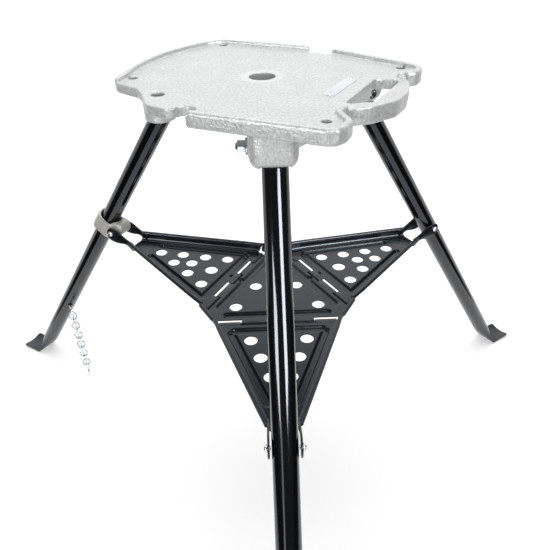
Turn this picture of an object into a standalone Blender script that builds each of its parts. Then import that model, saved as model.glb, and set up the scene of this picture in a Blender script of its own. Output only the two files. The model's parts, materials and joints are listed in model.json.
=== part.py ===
"""Threading machine tripod stand: cast top plate on three folding tube legs, with a folding tray between them.

Metres, +Z up, floor at z = 0, with the middle of the stand's box over x = y = 0.  The front leg points to -Y, the
right leg to 30 degrees and the left leg to 150 degrees.  Along each leg, u is the distance out from the tripod axis
and v is 90 degrees round.
"""

import math

import bmesh
import bpy
from mathutils import Matrix, Vector

for old in list(bpy.data.objects):
    bpy.data.objects.remove(old, do_unlink=True)

# Overall layout
FLOOR_TO_TRAY = 0.395
FLOOR_TO_PIVOT = 0.706
PIVOT_TO_PLATE = 0.039
AZIMUTH = {"front": -90.0, "right": 30.0, "left": 150.0}
GAP = 0.0003

# Legs
LEG_OD = 0.03175
LEG_WALL = 0.0021
LEG_TILT = {"front": 33.6, "right": 33.6, "left": 35.73}
LEG_TOP = 0.008
FOOT_LENGTH = 0.046
FOOT_THICK = 0.0042
FOOT_CORNER = 0.004
FOOT_SHOULDER = 0.005
FOOT_HALF_WIDTH = math.pi * LEG_OD / 4
FOOT_HOLE_R = 0.0032
PIVOT_BOLT_R = 0.0047
PIVOT_HOLE_R = PIVOT_BOLT_R + GAP

# Tray
SHEET = 0.0016
HINGE_U = 0.0795
KNUCKLE_R = 0.0043
HINGE_PIN_R = 0.0025
HINGE_BORE_R = HINGE_PIN_R + GAP
HINGE_SLIT = 0.0032
KNUCKLE_MIDDLE = 0.0165
KNUCKLE_SPLIT = 0.0565
KNUCKLE_BACK = 0.0035
KNUCKLE_GAP = 0.001
HINGE_PIN_PAST = 0.0015
LEAF_LAP = 0.004
PANEL_CORNER = 0.125
PANEL_CORNER_HALF = 0.023
PANEL_LIP = 0.011
FLANGE = 0.014
FLANGE_THICK = 0.002
BEAD_R = 0.0036
BEAD_OUT = 0.0012
WING_HALF = 0.0945
WING_HALF_END = 0.0195
NOTCH_DEPTH = 0.006
NOTCH_HALF = 0.0165
EAR_U = 0.334
EAR_ROOT = 0.044
EAR_NOTCH = 0.039
EAR_UP = 0.020
EAR_INNER = 0.0180
EAR_THICK = 0.0028
EAR_REACH = 0.011
EAR_BOLT_R = 0.0030
EAR_SCREW_R = 0.0048
EAR_SCREW_HIGH = 0.0042
TRAY_HOLE_R = 0.010
TRAY_HOLE_BIG_R = 0.011
TRAY_HOLE_BIG_U = 0.129
LEFT_WING_TILT = 3.2

# Sliding collar on the left leg
COLLAR_OFFSET = -0.02345
COLLAR_R = 0.0235
COLLAR_BORE_R = LEG_OD / 2 + 0.0006
COLLAR_SLACK = 0.0022
COLLAR_HIGH = 0.037
COLLAR_DROP = 0.0065
COLLAR_EDGE = 0.0040
COLLAR_FLAT = 0.0177
COLLAR_LUG_HALF = 0.0145

# Top plate casting
RIM_UP = 0.006
PLATE_FLOOR = 0.007
SKIRT = 0.014
BOSS_HALF = 0.0305
BOSS_HEAD_SIDE = 0.0276
BOSS_EDGE = 0.0155
BOSS_SWING_GAP = 0.0009
BOSS_SIDE_GAP = 0.0007
BOSS_OPEN_IN = 0.075
BOSS_OPEN_LOW = 0.060
BOSS_OPEN_HIGH = 0.022
RIB_BACK = -0.0195
RIB_THICK = 0.010
PIVOT_NUT_R = 0.0082
PIVOT_WASHER_R = 0.0100
PIVOT_HEAD_HIGH = 0.0060
HEAD_RECESS = 0.0064
HEAD_CLEAR = 0.0010
PIVOT_THREAD_PAST = 0.0025
WASHER_THICK = 0.0026
NUT_HIGH = 0.0090
CENTRE_HOLE_R = 0.0175
PLATE_HOLE_R = 0.006
LOCATING_HOLE_R = 0.0085
LOCATING_SPOT = (0.0885, 0.1245)
LOCATING_BOSS_R = 0.0195
LOCATING_BOSS_DROP = 0.0165
CENTRE_HUB_WALL = 0.0075
CENTRE_HUB_DROP = 0.013
HANDLE_DROP = 0.008
CENTRE_SPOT = (0.0095, 0.0055)

# Chain
CHAIN_HOLE_HEIGHT = 0.195
CHAIN_STAND = 0.022
CHAIN_WIRE_R = 0.0021
CHAIN_INSIDE = 0.0140
CHAIN_WIDE = 0.0190
CHAIN_LINKS = 11
HOOK_WIRE_R = 0.0024
HOOK_DROP = 0.0150
HOOK_BEND_R = 0.0058
END_R = 0.0070
HOOK_HOLE_R = HOOK_WIRE_R + GAP

FLOOR_TO_PLATE = FLOOR_TO_PIVOT + PIVOT_TO_PLATE
LEG_R = LEG_OD / 2
KNUCKLE_END = WING_HALF - KNUCKLE_BACK
HINGE_PIN_HALF = KNUCKLE_END + HINGE_PIN_PAST
HINGE_BORE_HALF = HINGE_PIN_HALF + KNUCKLE_GAP
WING_END = EAR_U - EAR_ROOT
WING_NOTCH = EAR_U - EAR_NOTCH
HINGE_Z = FLOOR_TO_TRAY - KNUCKLE_R
EAR_Z = FLOOR_TO_TRAY + EAR_UP

scene = bpy.context.scene
PARTS = bpy.data.collections.new("threading_machine_tripod_stand")
TOOLS = bpy.data.collections.new("cutting_tools")
scene.collection.children.link(PARTS)
scene.collection.children.link(TOOLS)


def material(name, rgb, metallic, roughness):
    """A plain Principled material."""
    mat = bpy.data.materials.new(name)
    mat.use_nodes = True
    shader = mat.node_tree.nodes["Principled BSDF"]
    shader.inputs["Base Color"].default_value = (*rgb, 1.0)
    shader.inputs["Metallic"].default_value = metallic
    shader.inputs["Roughness"].default_value = roughness
    return mat


CASTING = material("silver_painted_casting", (0.68, 0.70, 0.70), 0.1, 0.45)
BLACK_TUBE = material("gloss_black_tube", (0.012, 0.013, 0.016), 0.0, 0.12)
BLACK_SHEET = material("black_painted_sheet", (0.02, 0.021, 0.023), 0.0, 0.35)
ZINC = material("zinc_plated_steel", (0.62, 0.64, 0.66), 1.0, 0.3)
CAST_GREY = material("bare_grey_casting", (0.40, 0.39, 0.375), 0.6, 0.5)


def weld(mesh):
    """Closes a mesh's loose seams and turns its faces outward."""
    bm = bmesh.new()
    bm.from_mesh(mesh)
    bmesh.ops.remove_doubles(bm, verts=bm.verts, dist=0.00001)
    bmesh.ops.recalc_face_normals(bm, faces=bm.faces)
    bm.to_mesh(mesh)
    bm.free()
    return mesh


def curve_mesh(name, curve):
    """The welded mesh of a curve."""
    holder = bpy.data.objects.new(name, curve)
    mesh = bpy.data.meshes.new_from_object(holder)
    bpy.data.objects.remove(holder, do_unlink=True)
    return weld(mesh)


def poly(curve, points, closed):
    """Adds one straight-edged spline to a curve."""
    spline = curve.splines.new("POLY")
    spline.points.add(len(points) - 1)
    for slot, point in zip(spline.points, points):
        full = tuple(point) + (0.0,) * (3 - len(point))
        slot.co = (*full, 1.0)
    spline.use_cyclic_u = closed


def slab(name, outline, low, high, edge=0.0, rings=1):
    """A flat outline in x and y, solid from z = low to z = high, with its edges rounded by edge."""
    curve = bpy.data.curves.new(name, "CURVE")
    curve.dimensions = "2D"
    curve.fill_mode = "BOTH"
    curve.extrude = (high - low) / 2 - edge
    curve.bevel_depth = edge
    curve.bevel_resolution = rings
    curve.offset = -edge
    poly(curve, outline, True)
    mesh = curve_mesh(name, curve)
    mesh.transform(Matrix.Translation((0.0, 0.0, (low + high) / 2)))
    return mesh


def wire(name, points, radius, closed=False, rings=1):
    """A round wire along a line of points."""
    curve = bpy.data.curves.new(name, "CURVE")
    curve.dimensions = "3D"
    curve.fill_mode = "FULL"
    curve.bevel_depth = radius
    curve.bevel_resolution = rings
    curve.use_fill_caps = not closed
    poly(curve, points, closed)
    return curve_mesh(name, curve)


def rod(name, radius, start, end, sides=20):
    """A straight round rod between two points; six sides give a hexagon."""
    start = Vector(start)
    end = Vector(end)
    bm = bmesh.new()
    bmesh.ops.create_cone(bm, cap_ends=True, segments=sides, radius1=radius, radius2=radius,
                          depth=(end - start).length)
    mesh = bpy.data.meshes.new(name)
    bm.to_mesh(mesh)
    bm.free()
    turn = (end - start).to_track_quat("Z", "Y").to_matrix().to_4x4()
    mesh.transform(Matrix.Translation((start + end) / 2) @ turn)
    return mesh


def joined(name, meshes):
    """Several separate tool shapes as one mesh."""
    bm = bmesh.new()
    for mesh in meshes:
        bm.from_mesh(mesh)
    mesh = bpy.data.meshes.new(name)
    bm.to_mesh(mesh)
    bm.free()
    return mesh


def rounded(points, steps=2):
    """Corner points (x, y, radius) as an outline with round corners."""
    line = []
    for i, (x, y, radius) in enumerate(points):
        here = Vector((x, y))
        back = Vector(points[i - 1][:2]) - here
        ahead = Vector(points[(i + 1) % len(points)][:2]) - here
        if radius <= 0.0:
            line.append((x, y))
            continue
        half = back.angle(ahead) / 2
        reach = min(radius / math.tan(half), 0.49 * back.length, 0.49 * ahead.length)
        radius = reach * math.tan(half)
        back.normalize()
        ahead.normalize()
        centre = here + (back + ahead).normalized() * (radius / math.sin(half))
        first = here + back * reach - centre
        last = here + ahead * reach - centre
        sweep = first.angle_signed(last)
        for k in range(steps + 1):
            arm = first.copy()
            arm.rotate(Matrix.Rotation(-sweep * k / steps, 2))
            line.append(tuple(centre + arm))
    return line


def mm(points):
    """Outline corners given in millimetres."""
    return [tuple(value / 1000 for value in point) for point in points]


def whole_faces(mesh):
    """Joins the triangles of each flat face into one, so that later cuts meet it cleanly."""
    bm = bmesh.new()
    bm.from_mesh(mesh)
    bmesh.ops.dissolve_limit(bm, angle_limit=0.0005, verts=bm.verts, edges=bm.edges)
    bm.to_mesh(mesh)
    bm.free()
    return mesh


# An outline drawn in (u, z) stands upright: its thickness runs along v.
UPRIGHT = Matrix(((1, 0, 0, 0), (0, 0, -1, 0), (0, 1, 0, 0), (0, 0, 0, 1)))


def upright(name, outline, half, edge=0.0, rings=1, v=0.0):
    """An outline in (u, z), solid for half each side of v."""
    mesh = slab(name, outline, -v - half, -v + half, edge, rings)
    mesh.transform(UPRIGHT)
    return mesh


def tool(name, mesh, frame):
    """A hidden shape that a Boolean uses."""
    obj = bpy.data.objects.new(name, mesh)
    obj.matrix_world = frame
    obj.hide_render = True
    obj.display_type = "WIRE"
    TOOLS.objects.link(obj)
    return obj


def part(name, mesh, mat, frame, adds=(), cuts=()):
    """A named piece: its mesh, then shapes joined to it, then shapes cut from it."""
    mesh.materials.clear()
    mesh.materials.append(mat)
    obj = bpy.data.objects.new(name, mesh)
    obj.matrix_world = frame
    PARTS.objects.link(obj)
    for kind, shapes in (("UNION", adds), ("DIFFERENCE", cuts)):
        for i, shape in enumerate(shapes):
            step = obj.modifiers.new(f"{kind.lower()}_{i}", "BOOLEAN")
            step.operation = kind
            step.solver = "EXACT"
            step.object = tool(f"tool_{name}_{kind.lower()}_{i}", shape, frame)
    return obj


def turned(side):
    """The turn of one leg about the tripod axis: x is u, y is v."""
    return Matrix.Rotation(math.radians(AZIMUTH[side]), 4, "Z")


def spoke(side):
    """The frame of one leg, on the tripod axis at the floor."""
    return AXIS @ turned(side)


def tilt(side):
    """A leg's lean from the vertical, in radians."""
    return math.radians(LEG_TILT[side])


def down(side):
    """The direction down a leg, in its own frame."""
    return Vector((math.sin(tilt(side)), 0.0, -math.cos(tilt(side))))


def out(side):
    """The outward normal of a leg, in its own frame."""
    return Vector((math.cos(tilt(side)), 0.0, math.sin(tilt(side))))


# The right and front legs pass through their tray ears.
PIVOT_U = {side: EAR_U - (FLOOR_TO_PIVOT - EAR_Z) * math.tan(tilt(side)) for side in ("front", "right")}

# The left wing stands a little proud of level, so its ear sits higher up, and the collar's lug holds it
# COLLAR_OFFSET from the leg's centre line.
ear_arm = Vector((EAR_U - HINGE_U, 0.0, EAR_Z - HINGE_Z))
ear_arm.rotate(Matrix.Rotation(math.radians(-LEFT_WING_TILT), 3, "Y"))
left_ear = Vector((HINGE_U, 0.0, HINGE_Z - FLOOR_TO_PIVOT)) + ear_arm
PIVOT_U["left"] = (left_ear.dot(out("left")) - COLLAR_OFFSET) / math.cos(tilt("left"))
COLLAR_DOWN = (left_ear - Vector((PIVOT_U["left"], 0.0, 0.0))).dot(down("left"))


def foot_reach(side):
    """How far out a foot's end is."""
    return PIVOT_U[side] + FLOOR_TO_PIVOT * math.tan(tilt(side)) + FOOT_LENGTH


# The tripod axis stands where the box round the three feet has its middle at the origin.
half_turn = math.sin(math.radians(60))
tip_half = FOOT_HALF_WIDTH - FOOT_CORNER
box_right = foot_reach("right") * half_turn + tip_half / 2
box_left = -foot_reach("left") * half_turn - tip_half / 2
box_front = -foot_reach("front")
box_back = (foot_reach("left") - FOOT_SHOULDER) / 2 + FOOT_HALF_WIDTH * half_turn
AXIS = Matrix.Translation((-(box_right + box_left) / 2, -(box_front + box_back) / 2, 0.0))


def pivot_frame(side):
    """The frame at a leg's top pivot."""
    return spoke(side) @ Matrix.Translation((PIVOT_U[side], 0.0, FLOOR_TO_PIVOT))


# Top plate.  Its outline lies in a frame with x along the left leg; the handle is at -x.
PLATE_FRAME = spoke("left")
arc = [(-34 + 232 * math.cos(math.radians(a)), -11 + 232 * math.sin(math.radians(a)), 0)
       for a in (20, 10, 0, -10, -20)]
PLATE_OUTLINE = rounded(mm(
    [(174, 108, 12)] + arc
    + [(162, -133, 14), (13, -147, 4), (9, -134, 5), (-25, -134, 5), (-29, -146, 4), (-175, -110, 28),
       (-175, -72, 10), (-156, -64, 8), (-173, -47, 13), (-184, -8, 40), (-183, 28, 30), (-164, 61, 20),
       (-147, 77, 14), (-142, 98, 8), (-166, 122, 14), (-168, 160, 18), (14, 177, 5), (13, 145, 9),
       (38, 143, 9), (41, 165, 8), (79, 162, 22), (104, 134, 8), (128, 117, 8)]))
inner_arc = [(-34 + 224 * math.cos(math.radians(a)), -11 + 224 * math.sin(math.radians(a)), 0)
             for a in (25, 15, 5, -5, -15, -25)]
RECESS_OUTLINE = rounded(mm(
    [(161, 122, 0)] + inner_arc
    + [(156, -125, 8), (8, -139, 0), (8, -165, 0), (-24, -165, 0), (-24, -138, 0), (-166, -102, 20),
       (-166, -79, 5), (-149, -72, 6), (-154, -54, 0), (-205, -54, 0), (-205, 84, 0), (-137, 84, 0),
       (-134, 101, 8), (-158, 126, 10), (-160, 152, 11), (8, 168, 0), (8, 195, 0), (105, 195, 0)]))
POCKET_OUTLINE = rounded(mm(
    [(152, 94, 10), (178, 30, 40), (178, -50, 40), (148, -119, 12), (4, -124, 10), (-155, -94, 20),
     (-116, -48, 10), (-116, 66, 10), (-143, 118, 10), (-152, 148, 10), (2, 162, 6), (2, 132, 8),
     (40, 130, 8), (60, 148, 10), (98, 120, 10)]))
HANDLE_OUTLINE = rounded(mm(
    [(-119, -30, 6), (-150, -30, 6), (-157, -60.5, 6), (-172, -46.5, 13), (-183, -8, 40), (-182, 27.5, 30),
     (-163.5, 60, 20), (-147, 75.5, 14), (-119, 75.5, 6)]))
SLOT_OUTLINE = rounded(mm([(-130.5, 66, 5), (-129, -41.5, 7), (-149, -50, 10), (-160, -44, 7), (-159, 45, 9),
                           (-147, 51.5, 9)]), 4)
plate_top = FLOOR_TO_PLATE
plate_low = FLOOR_TO_PLATE - SKIRT
plate = slab("plate_body", PLATE_OUTLINE, plate_low, plate_top + RIM_UP, 0.0024, 0)
recess = slab("plate_recess", RECESS_OUTLINE, plate_top, plate_top + 0.03)
pocket = slab("plate_pocket", POCKET_OUTLINE, plate_low - 0.03, plate_top - PLATE_FLOOR)
plate_slot = slab("handle_slot", SLOT_OUTLINE, plate_low - 0.02, plate_top + 0.02)
to_world = PLATE_FRAME
for shape in (plate, recess, pocket, plate_slot):
    shape.transform(to_world)
HOLE_SPOTS = mm([(-142.5, -103.5), (-135.5, 124.5), (162.5, 81.5), (149.5, -119.5)])
hole_low = plate_low - max(LOCATING_BOSS_DROP, CENTRE_HUB_DROP) - 0.005
hole_high = plate_top + 0.02
plate_holes = [rod("plate_hole", PLATE_HOLE_R, (x, y, hole_low), (x, y, hole_high), 16) for x, y in HOLE_SPOTS]
locating_x, locating_y = LOCATING_SPOT
plate_holes.append(rod("locating_hole", LOCATING_HOLE_R, (locating_x, locating_y, hole_low),
                       (locating_x, locating_y, hole_high), 20))
centre_x, centre_y = CENTRE_SPOT
plate_holes.append(rod("centre_hole", CENTRE_HOLE_R, (centre_x, centre_y, hole_low),
                       (centre_x, centre_y, hole_high), 32))
plate_holes = joined("plate_holes", plate_holes)
plate_holes.transform(to_world)
locating_boss = rod("locating_boss", LOCATING_BOSS_R, (locating_x, locating_y, plate_low - LOCATING_BOSS_DROP),
                    (locating_x, locating_y, plate_top - 0.001), 24)
centre_hub = rod("centre_hub", CENTRE_HOLE_R + CENTRE_HUB_WALL, (centre_x, centre_y, plate_low - CENTRE_HUB_DROP),
                 (centre_x, centre_y, plate_top - 0.001), 32)
handle = slab("handle_body", HANDLE_OUTLINE, plate_low - HANDLE_DROP, plate_top - 0.001, 0.0024, 0)
for shape in (locating_boss, centre_hub, handle):
    shape.transform(to_world)

boss_adds = [locating_boss, centre_hub, handle]
boss_cuts = []
for side in AZIMUTH:
    lean = tilt(side)
    normal = Vector((math.cos(lean), math.sin(lean)))
    along = Vector((math.sin(lean), -math.cos(lean)))
    shape = rounded(mm([(-26, 38, 0), (34, 38, 0), (38.5, -21, 20), (-10, -21, 0), (-26, -12, 0)]), 3)
    boss = upright("boss_body", shape, (BOSS_HALF + BOSS_HEAD_SIDE) / 2, BOSS_EDGE, 2,
                   (BOSS_HEAD_SIDE - BOSS_HALF) / 2)
    whole_faces(boss)
    swing = LEG_R + BOSS_SWING_GAP
    corner = math.hypot(LEG_R, LEG_TOP) + BOSS_SWING_GAP
    corridor = [normal * corner - along * corner, normal * corner + along * 0.006, normal * swing + along * LEG_R,
                normal * swing + along * BOSS_OPEN_IN, Vector((-BOSS_OPEN_IN, -BOSS_OPEN_LOW)),
                Vector((-BOSS_OPEN_IN, BOSS_OPEN_HIGH))]
    slot = upright("leg_slot", [tuple(p) for p in corridor], LEG_R + BOSS_SIDE_GAP)
    hole = rod("pivot_hole", PIVOT_HOLE_R, (0, -2 * BOSS_HALF, 0), (0, 2 * BOSS_HALF, 0), 20)
    seat = BOSS_HEAD_SIDE - HEAD_RECESS
    head_pocket = rod("head_pocket", PIVOT_NUT_R + HEAD_CLEAR, (0, seat, 0), (0, 2 * BOSS_HALF, 0), 24)
    rib_root = LEG_R + BOSS_SIDE_GAP + 0.0015
    rib_line = [(rib_root, -0.008), (BOSS_HEAD_SIDE, -0.012), (BOSS_HEAD_SIDE + 0.014, -0.005),
                (BOSS_HEAD_SIDE + 0.022, 0.009), (BOSS_HEAD_SIDE + 0.025, 0.034), (rib_root, 0.034)]
    rib = slab("boss_rib", rib_line, RIB_BACK - RIB_THICK / 2, RIB_BACK + RIB_THICK / 2)
    rib.transform(Matrix(((0, 0, 1, 0), (1, 0, 0, 0), (0, 1, 0, 0), (0, 0, 0, 1))))
    for shape in (boss, rib, slot, hole, head_pocket):
        shape.transform(pivot_frame(side))
    boss_adds += [boss, rib]
    boss_cuts += [slot, hole, head_pocket]

head = part("head_casting", plate, CASTING, Matrix.Identity(4), (), [recess, pocket])
for kind, shapes in (("UNION", boss_adds), ("DIFFERENCE", boss_cuts + [plate_slot, plate_holes])):
    for i, shape in enumerate(shapes):
        step = head.modifiers.new(f"boss_{kind.lower()}_{i}", "BOOLEAN")
        step.operation = kind
        step.solver = "EXACT"
        step.object = tool(f"tool_head_{kind.lower()}_{i}", shape, Matrix.Identity(4))


# Legs: round tube, pressed flat at the lower end and turned out along the floor.
def leg_mesh(side):
    """The outer skin of a leg, in its pivot frame; each section goes from round to square."""
    along = down(side)
    normal = out(side)
    across = Vector((0.0, 1.0, 0.0))
    length = FLOOR_TO_PIVOT / math.cos(tilt(side))
    bend = along * length
    up = Vector((0.0, 0.0, 1.0))
    half = FOOT_THICK / 2
    level = Vector((bend.x, 0.0, -FLOOR_TO_PIVOT + half))
    sections = [
        (along * -LEG_TOP, normal, LEG_R, LEG_R, 1.0),
        (along * (length - 0.070), normal, LEG_R, LEG_R, 1.0),
        (along * (length - 0.045), normal, LEG_R * 1.08, LEG_R * 0.88, 1.03),
        (along * (length - 0.026), normal, LEG_R * 1.26, LEG_R * 0.60, 1.08),
        (along * (length - 0.012), normal, LEG_R * 1.45, LEG_R * 0.32, 1.18),
        (level + Vector((-0.0010, 0.0, 0.0007)), (normal + up).normalized(), FOOT_HALF_WIDTH, half + 0.0003, 1.25),
        (level + Vector((0.0060, 0.0, 0.0)), up, FOOT_HALF_WIDTH, half, 1.25),
        (level + Vector((FOOT_LENGTH - FOOT_SHOULDER, 0.0, 0.0)), up, FOOT_HALF_WIDTH, half, 1.25),
        (level + Vector((FOOT_LENGTH, 0.0, 0.0)), up, FOOT_HALF_WIDTH - FOOT_CORNER, half, 1.25),
    ]
    count = 20
    bm = bmesh.new()
    rows = []
    for centre, thick, wide, deep, square in sections:
        row = []
        for k in range(count):
            angle = 2 * math.pi * (k + 0.5) / count
            c = max(-1.0, min(1.0, math.cos(angle) * square))
            s = max(-1.0, min(1.0, math.sin(angle) * square))
            row.append(bm.verts.new(centre + across * (wide * c) + thick * (deep * s)))
        rows.append(row)
    for row, after in zip(rows, rows[1:]):
        for k in range(count):
            bm.faces.new((row[k], row[(k + 1) % count], after[(k + 1) % count], after[k]))
    bm.faces.new(rows[0])
    bm.faces.new(rows[-1])
    bmesh.ops.recalc_face_normals(bm, faces=bm.faces)
    mesh = bpy.data.meshes.new("leg_skin")
    bm.to_mesh(mesh)
    bm.free()
    return mesh


CHAIN_OUT = Vector((-0.777, 0.630, 0.0)).normalized()
chain_along = (FLOOR_TO_PIVOT - CHAIN_HOLE_HEIGHT) / math.cos(tilt("left"))
CHAIN_AXIS = down("left") * chain_along
for side in AZIMUTH:
    length = FLOOR_TO_PIVOT / math.cos(tilt(side))
    bore = rod("leg_bore", LEG_R - LEG_WALL, down(side) * -0.02, down(side) * (length - 0.080), 20)
    cross = rod("pivot_cross_hole", PIVOT_HOLE_R, (0, -LEG_OD, 0), (0, LEG_OD, 0), 20)
    foot = Vector((down(side).x * length + 0.014, 0.0, -FLOOR_TO_PIVOT))
    nail = rod("foot_hole", FOOT_HOLE_R, foot - Vector((0, 0, 0.01)), foot + Vector((0, 0, 0.006)), 12)
    cuts = [bore, cross, nail]
    if side == "left":
        cuts.append(rod("hook_hole", HOOK_HOLE_R, CHAIN_AXIS, CHAIN_AXIS + CHAIN_OUT * LEG_OD, 12))
    part(f"leg_tube_{side}", leg_mesh(side), BLACK_TUBE, pivot_frame(side), (), cuts)

# Top pivot hardware: bolt through both cheeks of the boss, with a washer and nut on its -v side.
for side in AZIMUTH:
    frame = pivot_frame(side)
    seat = BOSS_HALF + GAP
    thread_end = -seat - WASHER_THICK - NUT_HIGH - PIVOT_THREAD_PAST
    head_seat = BOSS_HEAD_SIDE - HEAD_RECESS + GAP
    shank = rod("pivot_shank", PIVOT_BOLT_R, (0, thread_end, 0), (0, head_seat + PIVOT_HEAD_HIGH / 2, 0), 16)
    bolt_head = rod("pivot_head", PIVOT_NUT_R, (0, head_seat, 0), (0, head_seat + PIVOT_HEAD_HIGH, 0), 6)
    part(f"leg_pivot_bolt_{side}", shank, ZINC, frame, [bolt_head])
    washer = rod("pivot_washer", PIVOT_WASHER_R, (0, -seat, 0), (0, -seat - WASHER_THICK, 0), 20)
    part(f"leg_pivot_washer_{side}", washer, ZINC, frame, (),
         [rod("washer_bore", PIVOT_HOLE_R, (0, 2 * thread_end, 0), (0, 0, 0), 20)])
    nut_face = -seat - WASHER_THICK - GAP
    nut = rod("pivot_nut", PIVOT_NUT_R, (0, nut_face, 0), (0, nut_face - NUT_HIGH, 0), 6)
    part(f"leg_pivot_nut_{side}", nut, ZINC, frame, (),
         [rod("nut_bore", PIVOT_HOLE_R, (0, 2 * thread_end, 0), (0, 0, 0), 20)])

# Tray centre panel: three hinge sides and three cut corners with a turned-up flange.
panel_frame = AXIS @ Matrix.Translation((0.0, 0.0, FLOOR_TO_TRAY))
reach = HINGE_U - KNUCKLE_R - HINGE_SLIT
corner_spots = []
for side in ("front", "right", "left"):
    base = math.radians(AZIMUTH[side])
    along_u = Vector((math.cos(base), math.sin(base)))
    along_v = Vector((-math.sin(base), math.cos(base)))
    far = (PANEL_CORNER - reach * math.cos(math.radians(60))) / math.sin(math.radians(60))
    corner_spots.append(tuple(along_u * reach - along_v * far))
    corner_spots.append(tuple(along_u * reach + along_v * far))
panel = slab("panel_sheet", corner_spots, -SHEET, 0.0)
panel_adds = []
panel_cuts = []
for side in AZIMUTH:
    frame = turned(side)
    corner_frame = Matrix.Rotation(math.radians(AZIMUTH[side] + 180), 4, "Z")
    lip_low = -SHEET - 0.0002
    lip = rounded([(-PANEL_CORNER_HALF, lip_low, 0), (-PANEL_CORNER_HALF, PANEL_LIP, 0.005),
                   (PANEL_CORNER_HALF, PANEL_LIP, 0.005), (PANEL_CORNER_HALF, lip_low, 0)])
    flange = slab("corner_flange", lip, PANEL_CORNER - 0.0014, PANEL_CORNER + 0.0006)
    flange.transform(corner_frame @ Matrix(((0, 0, 1, 0), (1, 0, 0, 0), (0, 1, 0, 0), (0, 0, 0, 1))))
    panel_adds.append(flange)
    for sign in (-1, 1):
        low = sign * KNUCKLE_MIDDLE
        high = sign * KNUCKLE_SPLIT
        knuckle = rod("panel_knuckle", KNUCKLE_R, (HINGE_U, low, -KNUCKLE_R), (HINGE_U, high, -KNUCKLE_R), 12)
        near = low + sign * KNUCKLE_GAP / 2
        distant = high - sign * KNUCKLE_GAP / 2
        leaf = slab("panel_leaf", [(reach - LEAF_LAP, near), (HINGE_U, near), (HINGE_U, distant),
                                   (reach - LEAF_LAP, distant)], -SHEET - 0.0002, -0.0001)
        knuckle.transform(frame)
        leaf.transform(frame)
        panel_adds.append(knuckle)
        panel_adds.append(leaf)
    bore = rod("panel_bore", HINGE_BORE_R, (HINGE_U, -HINGE_BORE_HALF, -KNUCKLE_R),
               (HINGE_U, HINGE_BORE_HALF, -KNUCKLE_R), 12)
    bore.transform(frame)
    panel_cuts.append(bore)
    pin = rod("hinge_pin", HINGE_PIN_R, (HINGE_U, -HINGE_PIN_HALF, HINGE_Z),
              (HINGE_U, HINGE_PIN_HALF, HINGE_Z), 12)
    part(f"tray_hinge_pin_{side}", pin, ZINC, spoke(side))
panel_holes = [rod("panel_hole", TRAY_HOLE_R, (x, y, -0.01), (x, y, 0.01), 14)
               for x, y in mm([(34, 15), (-34, 15), (66, -40), (-66, -40)])]
panel_cuts.append(joined("panel_holes", panel_holes))
part("tray_centre_panel", panel, BLACK_SHEET, panel_frame, panel_adds, panel_cuts)

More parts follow.
